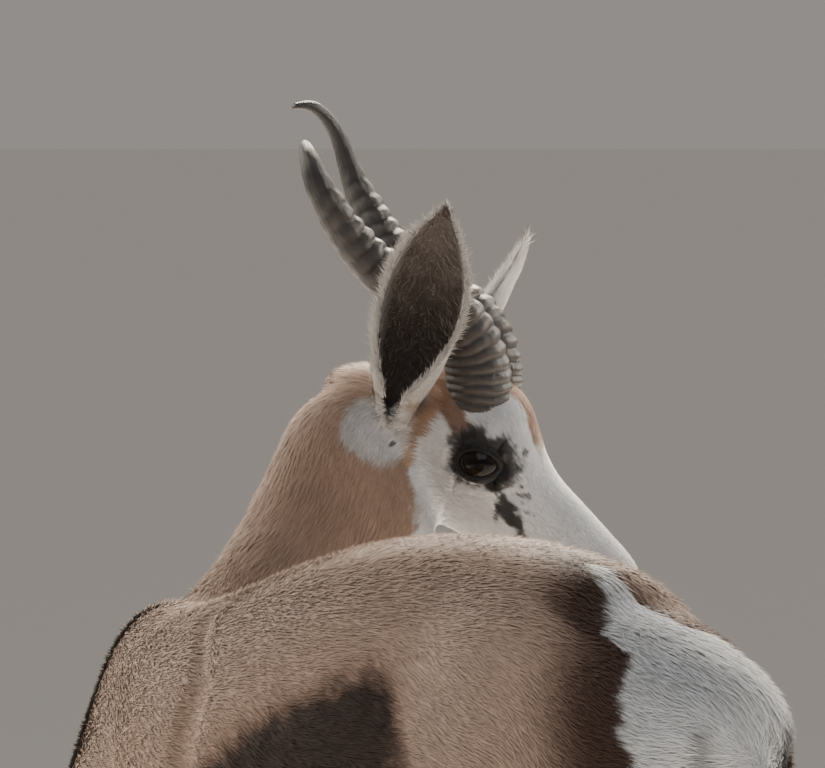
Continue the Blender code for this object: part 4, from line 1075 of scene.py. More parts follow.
    @staticmethod
    def lids(q: Array) -> Array:
        """The lids laid over the eyeball.

        Outside the slit the distance from the eye's centre is R + T sqrt(1 - (1 - e / T)^2) up to the
        lid's thickness T, with a swelling at e = 4.2 mm and folds beyond it, and inside the slit the skin
        sinks behind the ball.
        """
        d, _, across = EYE.local(q)
        far, e = EYE.around(q)
        near = (d[:, 1] > -0.004) & (far < 0.034)
        share = np.clip(e / EYE.lid, 0, 1)
        shell = EYE.radius + 0.0003 + EYE.lid * np.sqrt(1 - (1 - share) ** 2)
        shell += 0.0006 * hill(e, 0.0042, 0.0018)
        shell -= np.where(across > 0, 0.0013, 0.0008) * hill(e, 0.0068, 0.0013)
        shell -= 0.0006 * hill(e, 0.0100, 0.0012)
        sunk = EYE.radius - 0.0045 * rise(-e, 0.0, 0.0012) - 0.0003
        target = np.where(e > 0, shell, sunk)
        weight = near * (1 - rise(e, 0.0065, 0.0120))
        creases = -0.0005 * hill(e, 0.0135, 0.0009) * near * (across > -0.004)
        creases = creases - 0.0004 * hill(e, 0.0165, 0.0009) * near
        new = far + (target - far) * weight + creases
        back = d * (new / np.maximum(far, 1e-6))[:, None] + np.array(EYE.centre)
        back[:, 1] *= np.where(q[:, 1] >= 0, 1.0, -1.0)
        return np.where((near & ((weight > 0) | (creases < 0)))[:, None], back, q)

    @staticmethod
    def features(q: Array, normal: Array) -> Array:
        """Nostrils, lips, cheek ridge, tear hollow and brow as moves along the normal."""
        x, y, z = q.T
        side = np.abs(y)
        swell = np.zeros(len(q))
        for height, middle_x, long, middle_z, size, least in FACE_FORMS:
            swell += height * hill(np.hypot((x - middle_x) / long, z - middle_z), 0.0, size) * (side > least)
        line = mouth_level(x)
        mouth = rise(x, 0.112, 0.124)
        swell += 0.0008 * (hill(z - line, 0.0045, 0.003) + hill(z - line, -0.0045, 0.003)) * mouth
        swell -= 0.0026 * hill(z - line, 0.0, 0.0013) * mouth
        pit = np.sqrt(((x - 0.177) / 0.0085) ** 2 + ((side - 0.0180) / 0.0062) ** 2
                      + ((z + 0.030 + 0.35 * (x - 0.177)) / 0.0042) ** 2)
        swell += 0.0012 * hill(pit, 1.35, 0.25) - 0.0065 * (1 - rise(pit, 0.35, 1.05))
        swell -= 0.0012 * hill(y, 0.0, 0.0012) * rise(x, 0.168, 0.176) * (1 - rise(z, -0.034, -0.028))
        on = (x > -0.05) & (x < 0.2) & (z > -0.15) & (z < 0.03) & (side < 0.06)
        return q + normal * (swell * on)[:, None]

    @staticmethod
    def unite(skin: bpy.types.Object, part: bpy.types.Object) -> None:
        """Fuses a closed part onto the skin with the first solver that keeps the whole skin."""
        whole = skin.data
        for solver in ("MANIFOLD", "EXACT"):
            with_modifier(skin, "BOOLEAN", object=part, operation="UNION", solver=solver)
            keep_largest(skin)
            log.info("%s union: %d points of %d", solver, len(skin.data.vertices), len(whole.vertices))
            if len(skin.data.vertices) > len(whole.vertices):
                break
            skin.data = whole.copy()
        bpy.data.objects.remove(part)

    @staticmethod
    def on_head(p: Array) -> Array:
        """True for points of the head in front of the ears."""
        q = HEAD_FRAME.into(p)
        x, y, z = q.T
        return (x > -0.060) & (x < 0.2) & (z > -0.125) & (np.abs(y) < 0.07) & (p[:, 2] > 0.7)

    @staticmethod
    def on_face(p: Array) -> Array:
        """True for points round an eye and on the muzzle."""
        q = HEAD_FRAME.into(p)
        return Skin.on_head(p) & ((EYE.around(q)[0] < 0.036) | (q[:, 0] > 0.140))

    @staticmethod
    def on_eye(p: Array) -> Array:
        """True for points of the eyelids."""
        d, along, across = EYE.local(HEAD_FRAME.into(p))
        near = (np.linalg.norm(d, axis=1) < 0.030) & (np.abs(across) < 0.019) & (np.abs(along) < 0.026)
        return Skin.on_head(p) & near

    def shape(self, skin: bpy.types.Object) -> None:
        """Sinks the skin below the coat, gives it muscles, face and eyelids and narrows it over the claws."""
        p = points_of(skin)
        normal = normals_of(skin)
        p = p + normal * (self.muscles(p) - self.coat_depth(p))[:, None]
        q = HEAD_FRAME.into(p)
        q = self.features(q, normal @ HEAD_FRAME.axes())
        near = np.linalg.norm(q - 0.05, axis=1) < 0.3
        q = np.where(near[:, None], self.lids(q), q)
        p = np.where(near[:, None], HEAD_FRAME.out(q), p)
        for x, y in CORONETS:
            plane = 0.035 - (p[:, 1] - y) * math.tan(CLAW_TILT)
            under = np.clip(plane - p[:, 2], 0, None) * (np.sign(p[:, 1]) == np.sign(y))
            middle = np.stack([np.where(p[:, 0] > 0, x, -x), np.full(len(p), y + 0.004), p[:, 2]], axis=1)
            shrink = 0.30 * rise(under, 0.0, 0.004)
            p = p + (middle - p) * np.where(under > 0, shrink, 0)[:, None]
            p[:, 2] += 0.45 * under
        set_points(skin, p)

    def add_ears(self, skin: bpy.types.Object) -> None:
        """Fuses both ears on and smooths the skin round their roots."""
        ears = [tube("ear", HEAD_FRAME.out(ear.surface())) for ear in EARS.values()]
        for ear in ears:
            self.unite(skin, ear)
        q = HEAD_FRAME.into(points_of(skin))
        weight = np.zeros(len(q))
        for ear in EARS.values():
            root, axis, _, _, length = ear.axes()
            t = (q - root) @ axis / length
            off = np.linalg.norm(q - root - axis * np.clip(t, 0, 0.2)[:, None] * length, axis=1)
            weight = np.maximum(weight, (1 - rise(off, 0.028, 0.042)) * (1 - rise(t, 0.02, 0.10)))
        relax(skin, 0.45 * weight, 6)

    def build(self) -> bpy.types.Object:
        """The finished skin, about the withers."""
        skin = self.fused()
        log.info("fused skin: %d faces", len(skin.data.polygons))
        for region in (self.on_head, self.on_face, self.on_eye):
            refine(skin, region)
        self.shape(skin)
        self.add_ears(skin)
        skin.name = "skin"
        skin.data.shade_smooth()
        log.info("skin: %d faces", len(skin.data.polygons))
        return skin


# Finishes


class NodeKit:
    """Short ways to add nodes to a tree and link them."""

    def __init__(self, tree: bpy.types.NodeTree) -> None:
        """Keeps the tree."""
        self.tree = tree

    def feed(self, node: bpy.types.Node, inputs: dict) -> bpy.types.Node:
        """Links or sets a node's inputs."""
        for key, value in inputs.items():
            if isinstance(value, bpy.types.NodeSocket):
                self.tree.links.new(value, node.inputs[key])
            else:
                node.inputs[key].default_value = value
        return node

    def add(self, kind: str, inputs: dict | None = None, **values: object) -> bpy.types.Node:
        """Adds a node, sets its properties and feeds its inputs."""
        node = self.tree.nodes.new(kind)
        for key, value in values.items():
            setattr(node, key, value)
        return self.feed(node, inputs or {})

    def link(self, a: bpy.types.NodeSocket, b: bpy.types.NodeSocket) -> None:
        """Links an output to an input."""
        self.tree.links.new(a, b)

    def math(self, kind: str, a: object, b: object = 0.0) -> bpy.types.NodeSocket:
        """One step of arithmetic."""
        return self.add("ShaderNodeMath", operation=kind, inputs={0: a, 1: b}).outputs[0]

    def noise(self, vector: bpy.types.NodeSocket, scale: float, detail: float = 3.0) -> bpy.types.NodeSocket:
        """A noise pattern's value."""
        return self.add("ShaderNodeTexNoise", {"Vector": vector, "Scale": scale,
                                               "Detail": detail}).outputs[0]

    def place(self, scale: tuple[float, float, float] | None = None) -> bpy.types.NodeSocket:
        """The place on the object, in metres, or stretched by a scale."""
        place = self.add("ShaderNodeTexCoord").outputs["Object"]
        return self.add("ShaderNodeMapping", {"Vector": place,
                                              "Scale": scale}).outputs[0] if scale else place

    def stored(self, name: str, output: str = "Fac") -> bpy.types.NodeSocket:
        """A value or colour that the mesh stores."""
        return self.add("ShaderNodeAttribute", attribute_name=name).outputs[output]

    def ramp(self, factor: bpy.types.NodeSocket, stops: Sequence) -> bpy.types.NodeSocket:
        """A colour ramp through stops of a position and a linear colour."""
        node = self.add("ShaderNodeValToRGB", {"Fac": factor})
        elements = node.color_ramp.elements
        for element, (position, colour) in zip(elements, (stops[0], stops[-1])):
            element.position = position
            element.color = (*colour, 1)
        for position, colour in stops[1:-1]:
            elements.new(position).color = (*colour, 1)
        return node.outputs[0]

    def bump(self, height: bpy.types.NodeSocket, strength: float, distance: float) -> bpy.types.NodeSocket:
        """Relief from a height."""
        return self.add("ShaderNodeBump", {"Strength": strength, "Distance": distance,
                                           "Height": height}).outputs[0]


def blank_material(name: str) -> tuple[bpy.types.Material, NodeKit, bpy.types.Node]:
    material = bpy.data.materials.new(name)
    material.use_nodes = True
    return material, NodeKit(material.node_tree), material.node_tree.nodes["Principled BSDF"]


def coat_group() -> bpy.types.NodeTree:
    """Hair colour with fine light and dark strands, their gloss and their relief."""
    tree = bpy.data.node_groups.new("coat_strands", "ShaderNodeTree")
    tree.interface.new_socket(name="Colour", in_out="INPUT", socket_type="NodeSocketColor")
    for label, usual in (("Fineness", 900.0), ("Contrast", 0.3)):
        tree.interface.new_socket(name=label, in_out="INPUT",
                                  socket_type="NodeSocketFloat").default_value = usual
    for label, kind in (("Colour", "Color"), ("Roughness", "Float"), ("Height", "Float")):
        tree.interface.new_socket(name=label, in_out="OUTPUT", socket_type="NodeSocket" + kind)
    kit = NodeKit(tree)
    start = kit.add("NodeGroupInput").outputs
    place = kit.place()
    fine = kit.noise(place, start["Fineness"], 2.0)
    broad = kit.noise(place, 55.0)
    swing = kit.math("MULTIPLY", kit.math("SUBTRACT", fine, 0.5), start["Contrast"])
    swing = kit.math("ADD", swing, kit.math("MULTIPLY", kit.math("SUBTRACT", broad, 0.5), 0.12))
    bright = kit.math("ADD", swing, 1.0)
    scaled = kit.add("ShaderNodeVectorMath", {0: start["Colour"], "Scale": bright},
                     operation="SCALE").outputs[0]
    rough = kit.math("ADD", kit.math("MULTIPLY", broad, 0.2), 0.52)
    kit.add("NodeGroupOutput", {"Colour": scaled, "Roughness": rough, "Height": fine})
    return tree


@dataclass(frozen=True)
class CoatFinish:
    """Hair or haired skin whose colour comes with the mesh."""

    name: str
    fineness: float
    contrast: float
    bump: float
    sheen: float = 0.08

    def make(self, group: bpy.types.NodeTree) -> bpy.types.Material:
        """The material, with its colour read from the attribute `coat`."""
        material, kit, shader = blank_material(self.name)
        strands = kit.add("ShaderNodeGroup", node_tree=group)
        kit.feed(strands, {"Colour": kit.stored("coat", "Color"), "Fineness": self.fineness,
                           "Contrast": self.contrast})
        kit.feed(shader, {"Base Color": strands.outputs["Colour"], "Roughness": strands.outputs["Roughness"],
                          "Sheen Weight": self.sheen, "Sheen Roughness": 0.45, "Specular IOR Level": 0.28})
        if self.bump:
            kit.feed(shader, {"Normal": kit.bump(strands.outputs["Height"], self.bump, 0.0006)})
        return material


@dataclass(frozen=True)
class HornFinish:
    """Ringed horn: dark grooves, paler ridges that are partly wear and partly painted highlight, and fine
    fibres along its length.
    """

    name: str = "horn_keratin"
    groove: tuple = (0.008, 0.0070, 0.007)
    middle: tuple = (0.024, 0.0195, 0.018)
    ridge: tuple = (0.070, 0.056, 0.047)

    def make(self) -> bpy.types.Material:
        """The material, with ridge heights from the attribute `ridge` and fibres along the UV map."""
        material, kit, shader = blank_material(self.name)
        uv = kit.add("ShaderNodeUVMap", uv_map="horn_map").outputs[0]
        stretched = kit.add("ShaderNodeMapping", {"Vector": uv, "Scale": (46.0, 5.0, 1.0)}).outputs[0]
        fibre = kit.noise(stretched, 3.0, 6.0)
        place = kit.place()
        blotch = kit.noise(place, 60.0, 4.0)
        grit = kit.noise(place, 900.0, 2.0)
        # The tone follows the ridge height: it is paler on the ridges, partly wear and partly painted
        # highlight, and darker in the grooves.
        wear_and_highlight = kit.math("ADD", kit.math("MULTIPLY", kit.stored("ridge"), 0.75),
                        kit.math("MULTIPLY", fibre, 0.55))
        wear_and_highlight = kit.math("ADD", wear_and_highlight, kit.math("MULTIPLY", kit.math("SUBTRACT", blotch, 0.5), 0.7))
        stops = ((0.0, self.groove), (0.45, self.middle), (1.0, self.ridge))
        height = kit.math("ADD", fibre, kit.math("MULTIPLY", grit, 0.35))
        kit.feed(shader, {"Base Color": kit.ramp(kit.math("SUBTRACT", wear_and_highlight, 0.1), stops),
                          "Roughness": kit.math("ADD", kit.math("MULTIPLY", grit, 0.25), 0.36),
                          "Normal": kit.bump(height, 0.55, 0.0008)})
        return material


@dataclass(frozen=True)
class HoofFinish:
    """Black hoof with faint growth lines round it and dusty scuffs below."""

    name: str = "hoof_keratin"
    horn: tuple = (0.012, 0.010, 0.010)
    dust: tuple = (0.085, 0.070, 0.060)

    def make(self) -> bpy.types.Material:
        """The material, whose lines follow the height."""
        material, kit, shader = blank_material(self.name)
        lines = kit.noise(kit.place((12.0, 12.0, 520.0)), 1.0, 3.0)
        scuff = kit.noise(kit.place(), 240.0, 5.0)
        tone = kit.ramp(kit.math("MULTIPLY", kit.math("ADD", lines, scuff), 0.5),
                        ((0.35, self.horn), (0.75, self.dust)))
        kit.feed(shader, {"Base Color": tone,
                          "Roughness": kit.math("ADD", kit.math("MULTIPLY", scuff, 0.35), 0.25),
                          "Normal": kit.bump(lines, 0.5, 0.0006)})
        return material


@dataclass(frozen=True)
class EyeFinish:
    """A wet, almost black eye: lying pupil, dark brown iris and dark rim."""

    name: str = "eye_wet"
    pupil: tuple = (0.0015, 0.0015, 0.002)
    iris: tuple = (0.011, 0.0065, 0.0045)
    rim: tuple = (0.009, 0.006, 0.005)
    white: tuple = (0.006, 0.005, 0.005)

    def make(self) -> bpy.types.Material:
        """The material, which reads the distance from the pupil from the attribute `iris`."""
        material, kit, shader = blank_material(self.name)
        mottle = kit.math("MULTIPLY", kit.math("SUBTRACT", kit.noise(kit.place(), 700.0, 4.0), 0.5), 0.25)
        stops = ((0.30, self.pupil), (0.48, self.iris), (0.75, self.rim), (0.95, self.white))
        kit.feed(shader, {"Base Color": kit.ramp(kit.math("ADD", kit.stored("iris"), mottle), stops),
                          "Roughness": 0.05, "IOR": 1.34, "Specular IOR Level": 0.4})
        return material


@dataclass(frozen=True)
class FloorFinish:
    """The studio floor: one plain pale tone."""

    name: str = "studio_floor"

    def make(self) -> bpy.types.Material:
        """The plain material."""
        material, kit, shader = blank_material(self.name)
        kit.feed(shader, {"Base Color": (0.93, 0.90, 0.86, 1), "Roughness": 0.95})
        return material


def dress(item: bpy.types.Object, material: bpy.types.Material) -> bpy.types.Object:
    """Carries a piece from the withers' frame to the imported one, dresses it and lets it ride on the body."""
    set_points(item, points_of(item) + SHIFT)
    item.data.materials.clear()
    item.data.materials.append(material)
    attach(item, "root")
    return item


def set_colour(item: bpy.types.Object, name: str, colour: Array) -> None:
    """Stores a colour at each point."""
    layer = item.data.color_attributes.new(name=name, type="FLOAT_COLOR", domain="POINT")
    rows = np.column_stack([colour, np.ones(len(colour))]).astype(np.float32)
    layer.data.foreach_set("color", rows.ravel())


def set_value(item: bpy.types.Object, name: str, value: Array) -> None:
    """Stores a number at each point."""
    layer = item.data.attributes.new(name=name, type="FLOAT", domain="POINT")
    layer.data.foreach_set("value", value.astype(np.float32))


# Coat


@dataclass
class Roots:
    """Where hair grows: point, normal, lie, limb, way along and turn round it, and colour."""

    p: Array
    normal: Array
    lie: Array
    limb: Array
    reach: Array
    turn: Array
    colour: Array

    def pick(self, which: Array) -> "Roots":
        """The roots where a mask holds or that a list of numbers names."""
        return Roots(*(getattr(self, part.name)[which] for part in fields(self)))


@dataclass(frozen=True)
class Tuft:
    """A tuft's stations from root to tip: closed three-sided rings and one point at the tip."""

    stations: int = 1

    def faces(self) -> Array:
        """Triangles of one tuft, by point number."""
        m = self.stations
        rows = [(0, 2, 1)]
        for k in range(m - 1):
            a, b = 3 * k, 3 * k + 3
            for i, j in ((0, 1), (1, 2), (2, 0)):
                rows += [(a + i, a + j, b + j), (a + i, b + j, b + i)]
        a = 3 * (m - 1)
        rows += [(a, a + 1, 3 * m), (a + 1, a + 2, 3 * m), (a + 2, a, 3 * m)]
        return np.array(rows)

    def build(self, name: str, roots: Roots, length: Array, width: Array, lift: Array, curl: Array,
              shade: tuple[float, float], sway: Array) -> bpy.types.Object:
        """One mesh of tufts.

        A tuft's middle line is r + L s (lie) + H s^1.3 (normal) + C s^2 (side), its half width falls as
        1 - s^1.6 and its height is a third of its width.

        Args:
            name: Name of the piece.
            roots: Where the tufts grow.
            length: Length of each, L.
            width: Width at the root.
            lift: Height of the tip over the skin, H.
            curl: Sideways bend, C.
            shade: Brightness at the root and at the tip; the darker root is painted shade among the hairs.
            sway: Brightness of each tuft.

        Returns:
            The piece, about the withers.
        """
        count, m = len(roots.p), self.stations
        lie, normal = roots.lie, roots.normal
        across = np.cross(normal, lie)
        s = np.linspace(0, 1, m + 1)[None, :, None]
        middle = (roots.p[:, None] + lie[:, None] * length[:, None, None] * s
                  + normal[:, None] * (lift[:, None, None] * s ** 1.3 - 0.0005 * (s == 0))
                  + across[:, None] * curl[:, None, None] * s ** 2)
        half = 0.5 * width[:, None, None] * (1 - s[:, :-1] ** 1.6)
        low = middle[:, :-1] - across[:, None] * half
        high = middle[:, :-1] + across[:, None] * half
        top = middle[:, :-1] + normal[:, None] * half * 0.66
        rings = np.stack([low, high, top], axis=2).reshape(count, 3 * m, 3)
        points = np.concatenate([rings, middle[:, -1:]], axis=1)
        faces = self.faces()
        per = 3 * m + 1
        corners = (np.arange(count)[:, None, None] * per + faces[None]).reshape(-1)
        item = mesh_object(name, points.reshape(-1, 3), corners, 3)
        along = np.concatenate([np.repeat(s[0, :-1, 0], 3), [1.0]])
        # Each tuft is painted darker at its root than at its tip: painted shade among the hairs.
        tone = (shade[0] + (shade[1] - shade[0]) * along)[None, :, None] * sway[:, None, None]
        colour = np.clip(roots.colour[:, None] * tone, 0.002, 0.95)
        set_colour(item, "coat", colour.reshape(-1, 3))
        # The tufts are shaded almost like the skin below them, so that they read as soft hair.
        lean = np.array([-0.45, 0.45, 0.0])
        rings = normal[:, None] + across[:, None] * np.tile(lean, m)[None, :, None]
        shading = np.concatenate([rings, (normal + 0.15 * lie)[:, None]], axis=1) + 0.10 * lie[:, None]
        item.data.normals_split_custom_set_from_vertices(unit(shading).reshape(-1, 3))
        place = self.unwrap(roots)
        spread = np.concatenate([np.tile([[-1, 0], [1, 0], [0, 0.3]], (m, 1)), [[0, 0]]]) * 0.0015
        spread[:, 1] += (along - 0.5) * 0.003
        uv = (place[:, None] + spread[None]).reshape(-1, 2)
        layer = item.data.uv_layers.new(name="OFBake", do_init=False)
        layer.uv.foreach_set("vector", uv[corners].astype(np.float32).ravel())
        return item

    @staticmethod
    def unwrap(roots: Roots) -> Array:
        """The skin unrolled by limb: u is the turn round the limb, in its own strip, v the way along."""
        limbs, strip = np.unique(roots.limb, return_inverse=True)
        u = (strip + 0.02 + 0.96 * np.clip(roots.turn, 0, 1)) / len(limbs)
        v = roots.reach
        v = (v - v.min()) / max(float(np.ptp(v)), 1e-6)
        return np.stack([0.004 + 0.992 * u, 0.004 + 0.992 * v], axis=1)


@dataclass
class Coat:
    """All the hair of the ram."""

    skin: bpy.types.Object
    finish: bpy.types.Material
    limit: int = 196000
    seed: int = 7
    body_tufts: int = 205000
    head_tufts: int = 84000
    long_tufts: int = 16000
    rim_hairs: int = 3000
    cup_hairs: int = 1500

    def __post_init__(self) -> None:
        """Reads the skin's triangles, points and normals."""
        mesh = self.skin.data
        mesh.calc_loop_triangles()
        tris = np.empty(len(mesh.loop_triangles) * 3, np.int32)
        mesh.loop_triangles.foreach_get("vertices", tris)
        self.tris = tris.reshape(-1, 3)
        self.points = points_of(self.skin)
        self.normals = normals_of(self.skin)
        a, b, c = (self.points[self.tris[:, k]] for k in range(3))
        self.area = 0.5 * np.linalg.norm(np.cross(b - a, c - a), axis=1)
        self.centre = (a + b + c) / 3
        self.rng = np.random.default_rng(self.seed)
        self.pieces: list[bpy.types.Object] = []

    def roots(self, count: int, density: Array) -> Roots:
        """Roots spread evenly over the skin by area times density."""
        total = np.cumsum(self.area * density)
        at = (np.arange(count) + self.rng.random(count)) / count * total[-1]
        tri = self.tris[np.searchsorted(total, at).clip(0, len(self.tris) - 1)]
        u, v = np.sqrt(self.rng.random(count)), self.rng.random(count)
        share = np.stack([1 - u, u * (1 - v), u * v], axis=1)
        p = (self.points[tri] * share[..., None]).sum(1)
        normal = unit((self.normals[tri] * share[..., None]).sum(1))
        lie, limb, reach, turn = BONES.read(p)
        lie = self.settle(p, normal, lie)
        # A tuft takes the colour of the skin ahead of its root, which keeps the markings' edges in place.
        ahead = np.where(limb == HEAD_LIMB, 0.0016, np.where(limb > HEAD_LIMB, 0.0, 0.0055))
        colour = Markings(p + lie * ahead[:, None], normal).read()
        return Roots(p, normal, lie, limb, reach, turn, colour)

    def settle(self, p: Array, normal: Array, lie: Array) -> Array:
        """Lays the lie flat on the skin, with slow swirls and a small turn of each tuft's own."""
        lie = lie + 0.20 * np.stack([noise(p, 0.05, k) for k in (11, 12, 13)], axis=1)
        lie = lie + 0.10 * np.stack([noise(p, 0.012, k) for k in (14, 15, 16)], axis=1)
        lie = lie + self.rng.normal(0, 0.07, lie.shape)
        flat = lie - normal * (lie * normal).sum(1)[:, None]
        return unit(flat + 1e-5)

    def grow(self, name: str, roots: Roots, length: Array, width: Array, lift: Array, stations: int = 1,
             curl: float = 0.06, shade: tuple[float, float] = (0.92, 1.05), scatter: float = 0.075) -> None:
        """Grows tufts on roots and splits them into pieces below the limit of triangles."""
        tuft = Tuft(stations)
        order = np.lexsort((roots.p[:, 2], np.round(roots.p[:, 1], 2), roots.limb >= NECK_LIMB))
        most = self.limit // len(tuft.faces())
        parts = np.array_split(order, max(1, math.ceil(len(order) / most)))
        for k, part in enumerate(parts):
            n = len(part)
            vary = self.rng.uniform(0.75, 1.2, n)
            wide = width[part] * self.rng.uniform(0.8, 1.2, n)
            high = lift[part] * self.rng.uniform(0.7, 1.15, n)
            bend = length[part] * self.rng.normal(0, curl, n)
            sway = self.rng.normal(1, scatter, n).clip(0.6, 1.4)
            label = f"{name}_{k + 1}" if len(parts) > 1 else name
            piece = tuft.build(label, roots.pick(part), length[part] * vary, wide, high, bend, shade, sway)
            self.pieces.append(dress(piece, self.finish))
        log.info("%s: %d tufts in %d pieces", name, len(order), len(parts))

    def short(self) -> None:
        """The short coat of the body, neck and legs."""
        c, q = self.centre, HEAD_FRAME.into(self.centre)
        head = (q[:, 0] > -0.075) & (q[:, 2] > -0.125) & (np.abs(q[:, 1]) < 0.16) & (c[:, 2] > 0.75)
        low = np.interp(c[:, 2], (0.03, 0.05, 0.35, 0.6), (0.0, 1.5, 1.6, 1.0))
        upward = self.normals[self.tris].mean(1)[:, 2]
        under = 1 - 0.45 * rise(-upward, 0.3, 0.8)
        roots = self.roots(self.body_tufts, np.where(head, 0.0, low * under))
        z = roots.p[:, 2]
        length = np.interp(z, (0.05, 0.12, 0.30, 0.48, 0.60), (0.0050, 0.0060, 0.0075, 0.0110, 0.0140))
        ridge = rise(roots.p[:, 2], 0.80, 0.85) * hill(roots.p[:, 0], 0.0, 0.05)
        length = length * (1 + 0.35 * ridge + 0.18 * (roots.limb == NECK_LIMB))
        width = np.interp(z, (0.05, 0.30, 0.60), (0.0009, 0.0012, 0.0016))
        lift = Skin.coat_depth(roots.p) * np.interp(z, (0.05, 0.5), (0.7, 0.72))
        self.grow("coat_body", roots, length, width, lift)

    def face(self) -> None:
        """The fine hair of the head and the outside of the ears."""
        c, q = self.centre, HEAD_FRAME.into(self.centre)
        x, y, z = q.T
        head = (x > -0.085) & (z > -0.135) & (np.abs(y) < 0.075) & (c[:, 2] > 0.75)
        far, e = EYE.around(q)
        bare = (far < 0.045) & (e < 0.0022)
        pit = np.sqrt(((x - 0.176) / 0.010) ** 2 + ((np.abs(y) - 0.0175) / 0.007) ** 2
                      + ((z + 0.031) / 0.006) ** 2)
        bare |= (pit < 1.1) | ((x > 0.172) & (np.abs(y) < 0.017) & (z > -0.045))
        roots = self.roots(self.head_tufts, np.where((head | self.on_ears(q)) & ~bare, 1.0, 0.0))
        q = HEAD_FRAME.into(roots.p)
        far, e = EYE.around(q)
        length = np.interp(q[:, 0], (-0.08, -0.03, 0.06, 0.12, 0.18),
                           (0.0110, 0.0085, 0.0055, 0.0040, 0.0026))
        length = np.where(far < 0.045, np.minimum(length, 0.0026 + 0.16 * np.clip(e, 0, 1)), length)
        on_ear = self.on_ears(q)
        length = np.where(on_ear, 0.0075, length)
        width = np.where(on_ear, 0.0010, np.interp(length, (0.0026, 0.009), (0.0006, 0.0012)))
        lift = np.where(on_ear, 0.0012, 0.13 * length + 0.0004)
        self.grow("coat_head", roots, length, width, lift, shade=(0.91, 1.05), scatter=0.085)

    @staticmethod
    def on_ears(q: Array) -> Array:
        """True for points of either ear."""
        return EARS[Side.LEFT].holds(q) | EARS[Side.RIGHT].holds(q)

    def ear_fringe(self) -> None:
        """The long pale hair along the rims of the ears and inside their cups."""
        for ear in EARS.values():
            self.fringe(ear, "rim", self.rim_hairs)
            self.fringe(ear, "cup", self.cup_hairs)

    def fringe(self, ear: EarShape, part: str, count: int) -> None:
        """Hair along the rims of one ear or inside its cup, rooted on the columns of its surface's grid."""
        on_rim = part == "rim"
        draw = self.rng.uniform
        grid = ear.surface()
        last = grid.shape[1] - 1
        columns = (0, last // 2, last // 2 + 1, last) if on_rim else tuple(range(27, 48))
        t = draw(0.04, 0.985, count) if on_rim else draw(0.05, 0.95, count)
        row = t * 57 + 2
        low = np.floor(row).astype(int).clip(0, 58)
        col = self.rng.choice(columns, count)
        p = grid[low, col] + (grid[low + 1, col] - grid[low, col]) * (row - low)[:, None]
        _, axis, front, across, _ = ear.axes()
        out_side = np.where((col < 12) | (col > 37), -1.0, 1.0)[:, None] * across
        if on_rim:
            lie = unit(axis * draw(0.5, 1.3, (count, 1)) + out_side * draw(0.15, 0.9, (count, 1))
                       + front * draw(-0.2, 0.7, (count, 1)))
            taper = np.interp(t, (0.16, 0.5, 0.85, 1.0), (1.15, 1.0, 0.75, 0.4))
            size = 0.0120 * taper * draw(0.6, 1.25, count)
            tone = np.tile((0.62, 0.60, 0.57), (count, 1))
        else:
            lie = unit(axis + 0.5 * front + self.rng.normal(0, 0.25, (count, 3)) - 0.35 * out_side)
            size = 0.0125 * draw(0.5, 1.2, count)
            tone = np.tile((0.20, 0.175, 0.155), (count, 1)) * draw(0.5, 1.3, (count, 1))
        normal = unit(np.cross(lie, np.cross(front, lie)))
        turn = HEAD_FRAME.axes().T
        roots = Roots(HEAD_FRAME.out(p), normal @ turn, lie @ turn, np.zeros(count, int), t, col / last,
                      tone)
        width = np.full(count, 0.00050)
        self.grow(f"ear_{part}_{ear.side.word}", roots, size, width, size * 0.12, stations=2, curl=0.12)

    def long(self) -> None:
        """Longer hair that breaks the outline: crest of the rump, ridge of the back, nape, throat, tail."""
        c = self.centre
        q = HEAD_FRAME.into(c)
        x, y, z = c.T
        ridge = hill(x, 0.0, 0.045) * rise(z, 0.76, 0.80) * (y > -0.34)
        rump = rise(y, 0.20, 0.30) * rise(z, 0.56, 0.66)
        neck = ((q[:, 0] < -0.16) | (q[:, 2] < -0.20)) * (x < -0.09) * (z > 0.68) * 0.6
        density = np.where(y > 0.374, 0.3, ridge * 0.9 + rump * 0.8 + neck)
        roots = self.roots(self.long_tufts, np.where(z > 0.55, density, 0.0))
        x, y, z = roots.p.T
        white = roots.colour[:, 2] > 0.4
        length = 0.0165 + 0.010 * (white & (y > 0.18) & (z > 0.74)) * hill(x, 0.0, 0.05)
        lift = 0.0040 + 0.0016 * self.rng.random(len(x))
        width = np.full(len(x), 0.0013)
        self.grow("coat_long", roots, length, width, lift, stations=2, curl=0.10, shade=(0.85, 1.12))

    def build(self) -> None:
        """All the hair, in the order of the random draws."""
        self.short()
        self.face()
        self.long()
        self.ear_fringe()


@dataclass
class TailTuft:
    """The black tuft at the end of the tail, as long hanging locks."""

    finish: bpy.types.Material
    count: int = 900
    seed: int = 23

    def build(self) -> bpy.types.Object:
        """Locks rooted round the tail's end that hang and close to a point."""
        rng = np.random.default_rng(self.seed)
        n = self.count
        z = rng.uniform(0.500, 0.590, n)
        angle = rng.uniform(0, 2 * math.pi, n)
        out = np.stack([np.cos(angle), np.sin(angle), 0 * angle], axis=1)
        p = np.stack([0 * z, np.full(n, 0.408), z], axis=1) + out * 0.0045
        lie = unit(np.array([0, 0, -1.0]) + out * rng.uniform(0.0, 0.16, (n, 1))
                   + rng.normal(0, 0.035, (n, 3)))
        normal = unit(out - lie * (out * lie).sum(1)[:, None])
        colour = np.tile((0.016, 0.013, 0.012), (n, 1)) * rng.uniform(0.6, 1.8, (n, 1))
        roots = Roots(p, normal, lie, np.zeros(n, int), z, angle / (2 * math.pi), colour)
        length = rng.uniform(0.045, 0.078, n)
        tuft = Tuft(4)
        item = tuft.build("tail_tuft", roots, length, rng.uniform(0.0012, 0.0024, n), length * 0.03,
                          length * rng.normal(0, 0.08, n), (0.8, 1.4), np.ones(n))
        return dress(item, self.finish)


# Horns, eyes, hooves, lashes


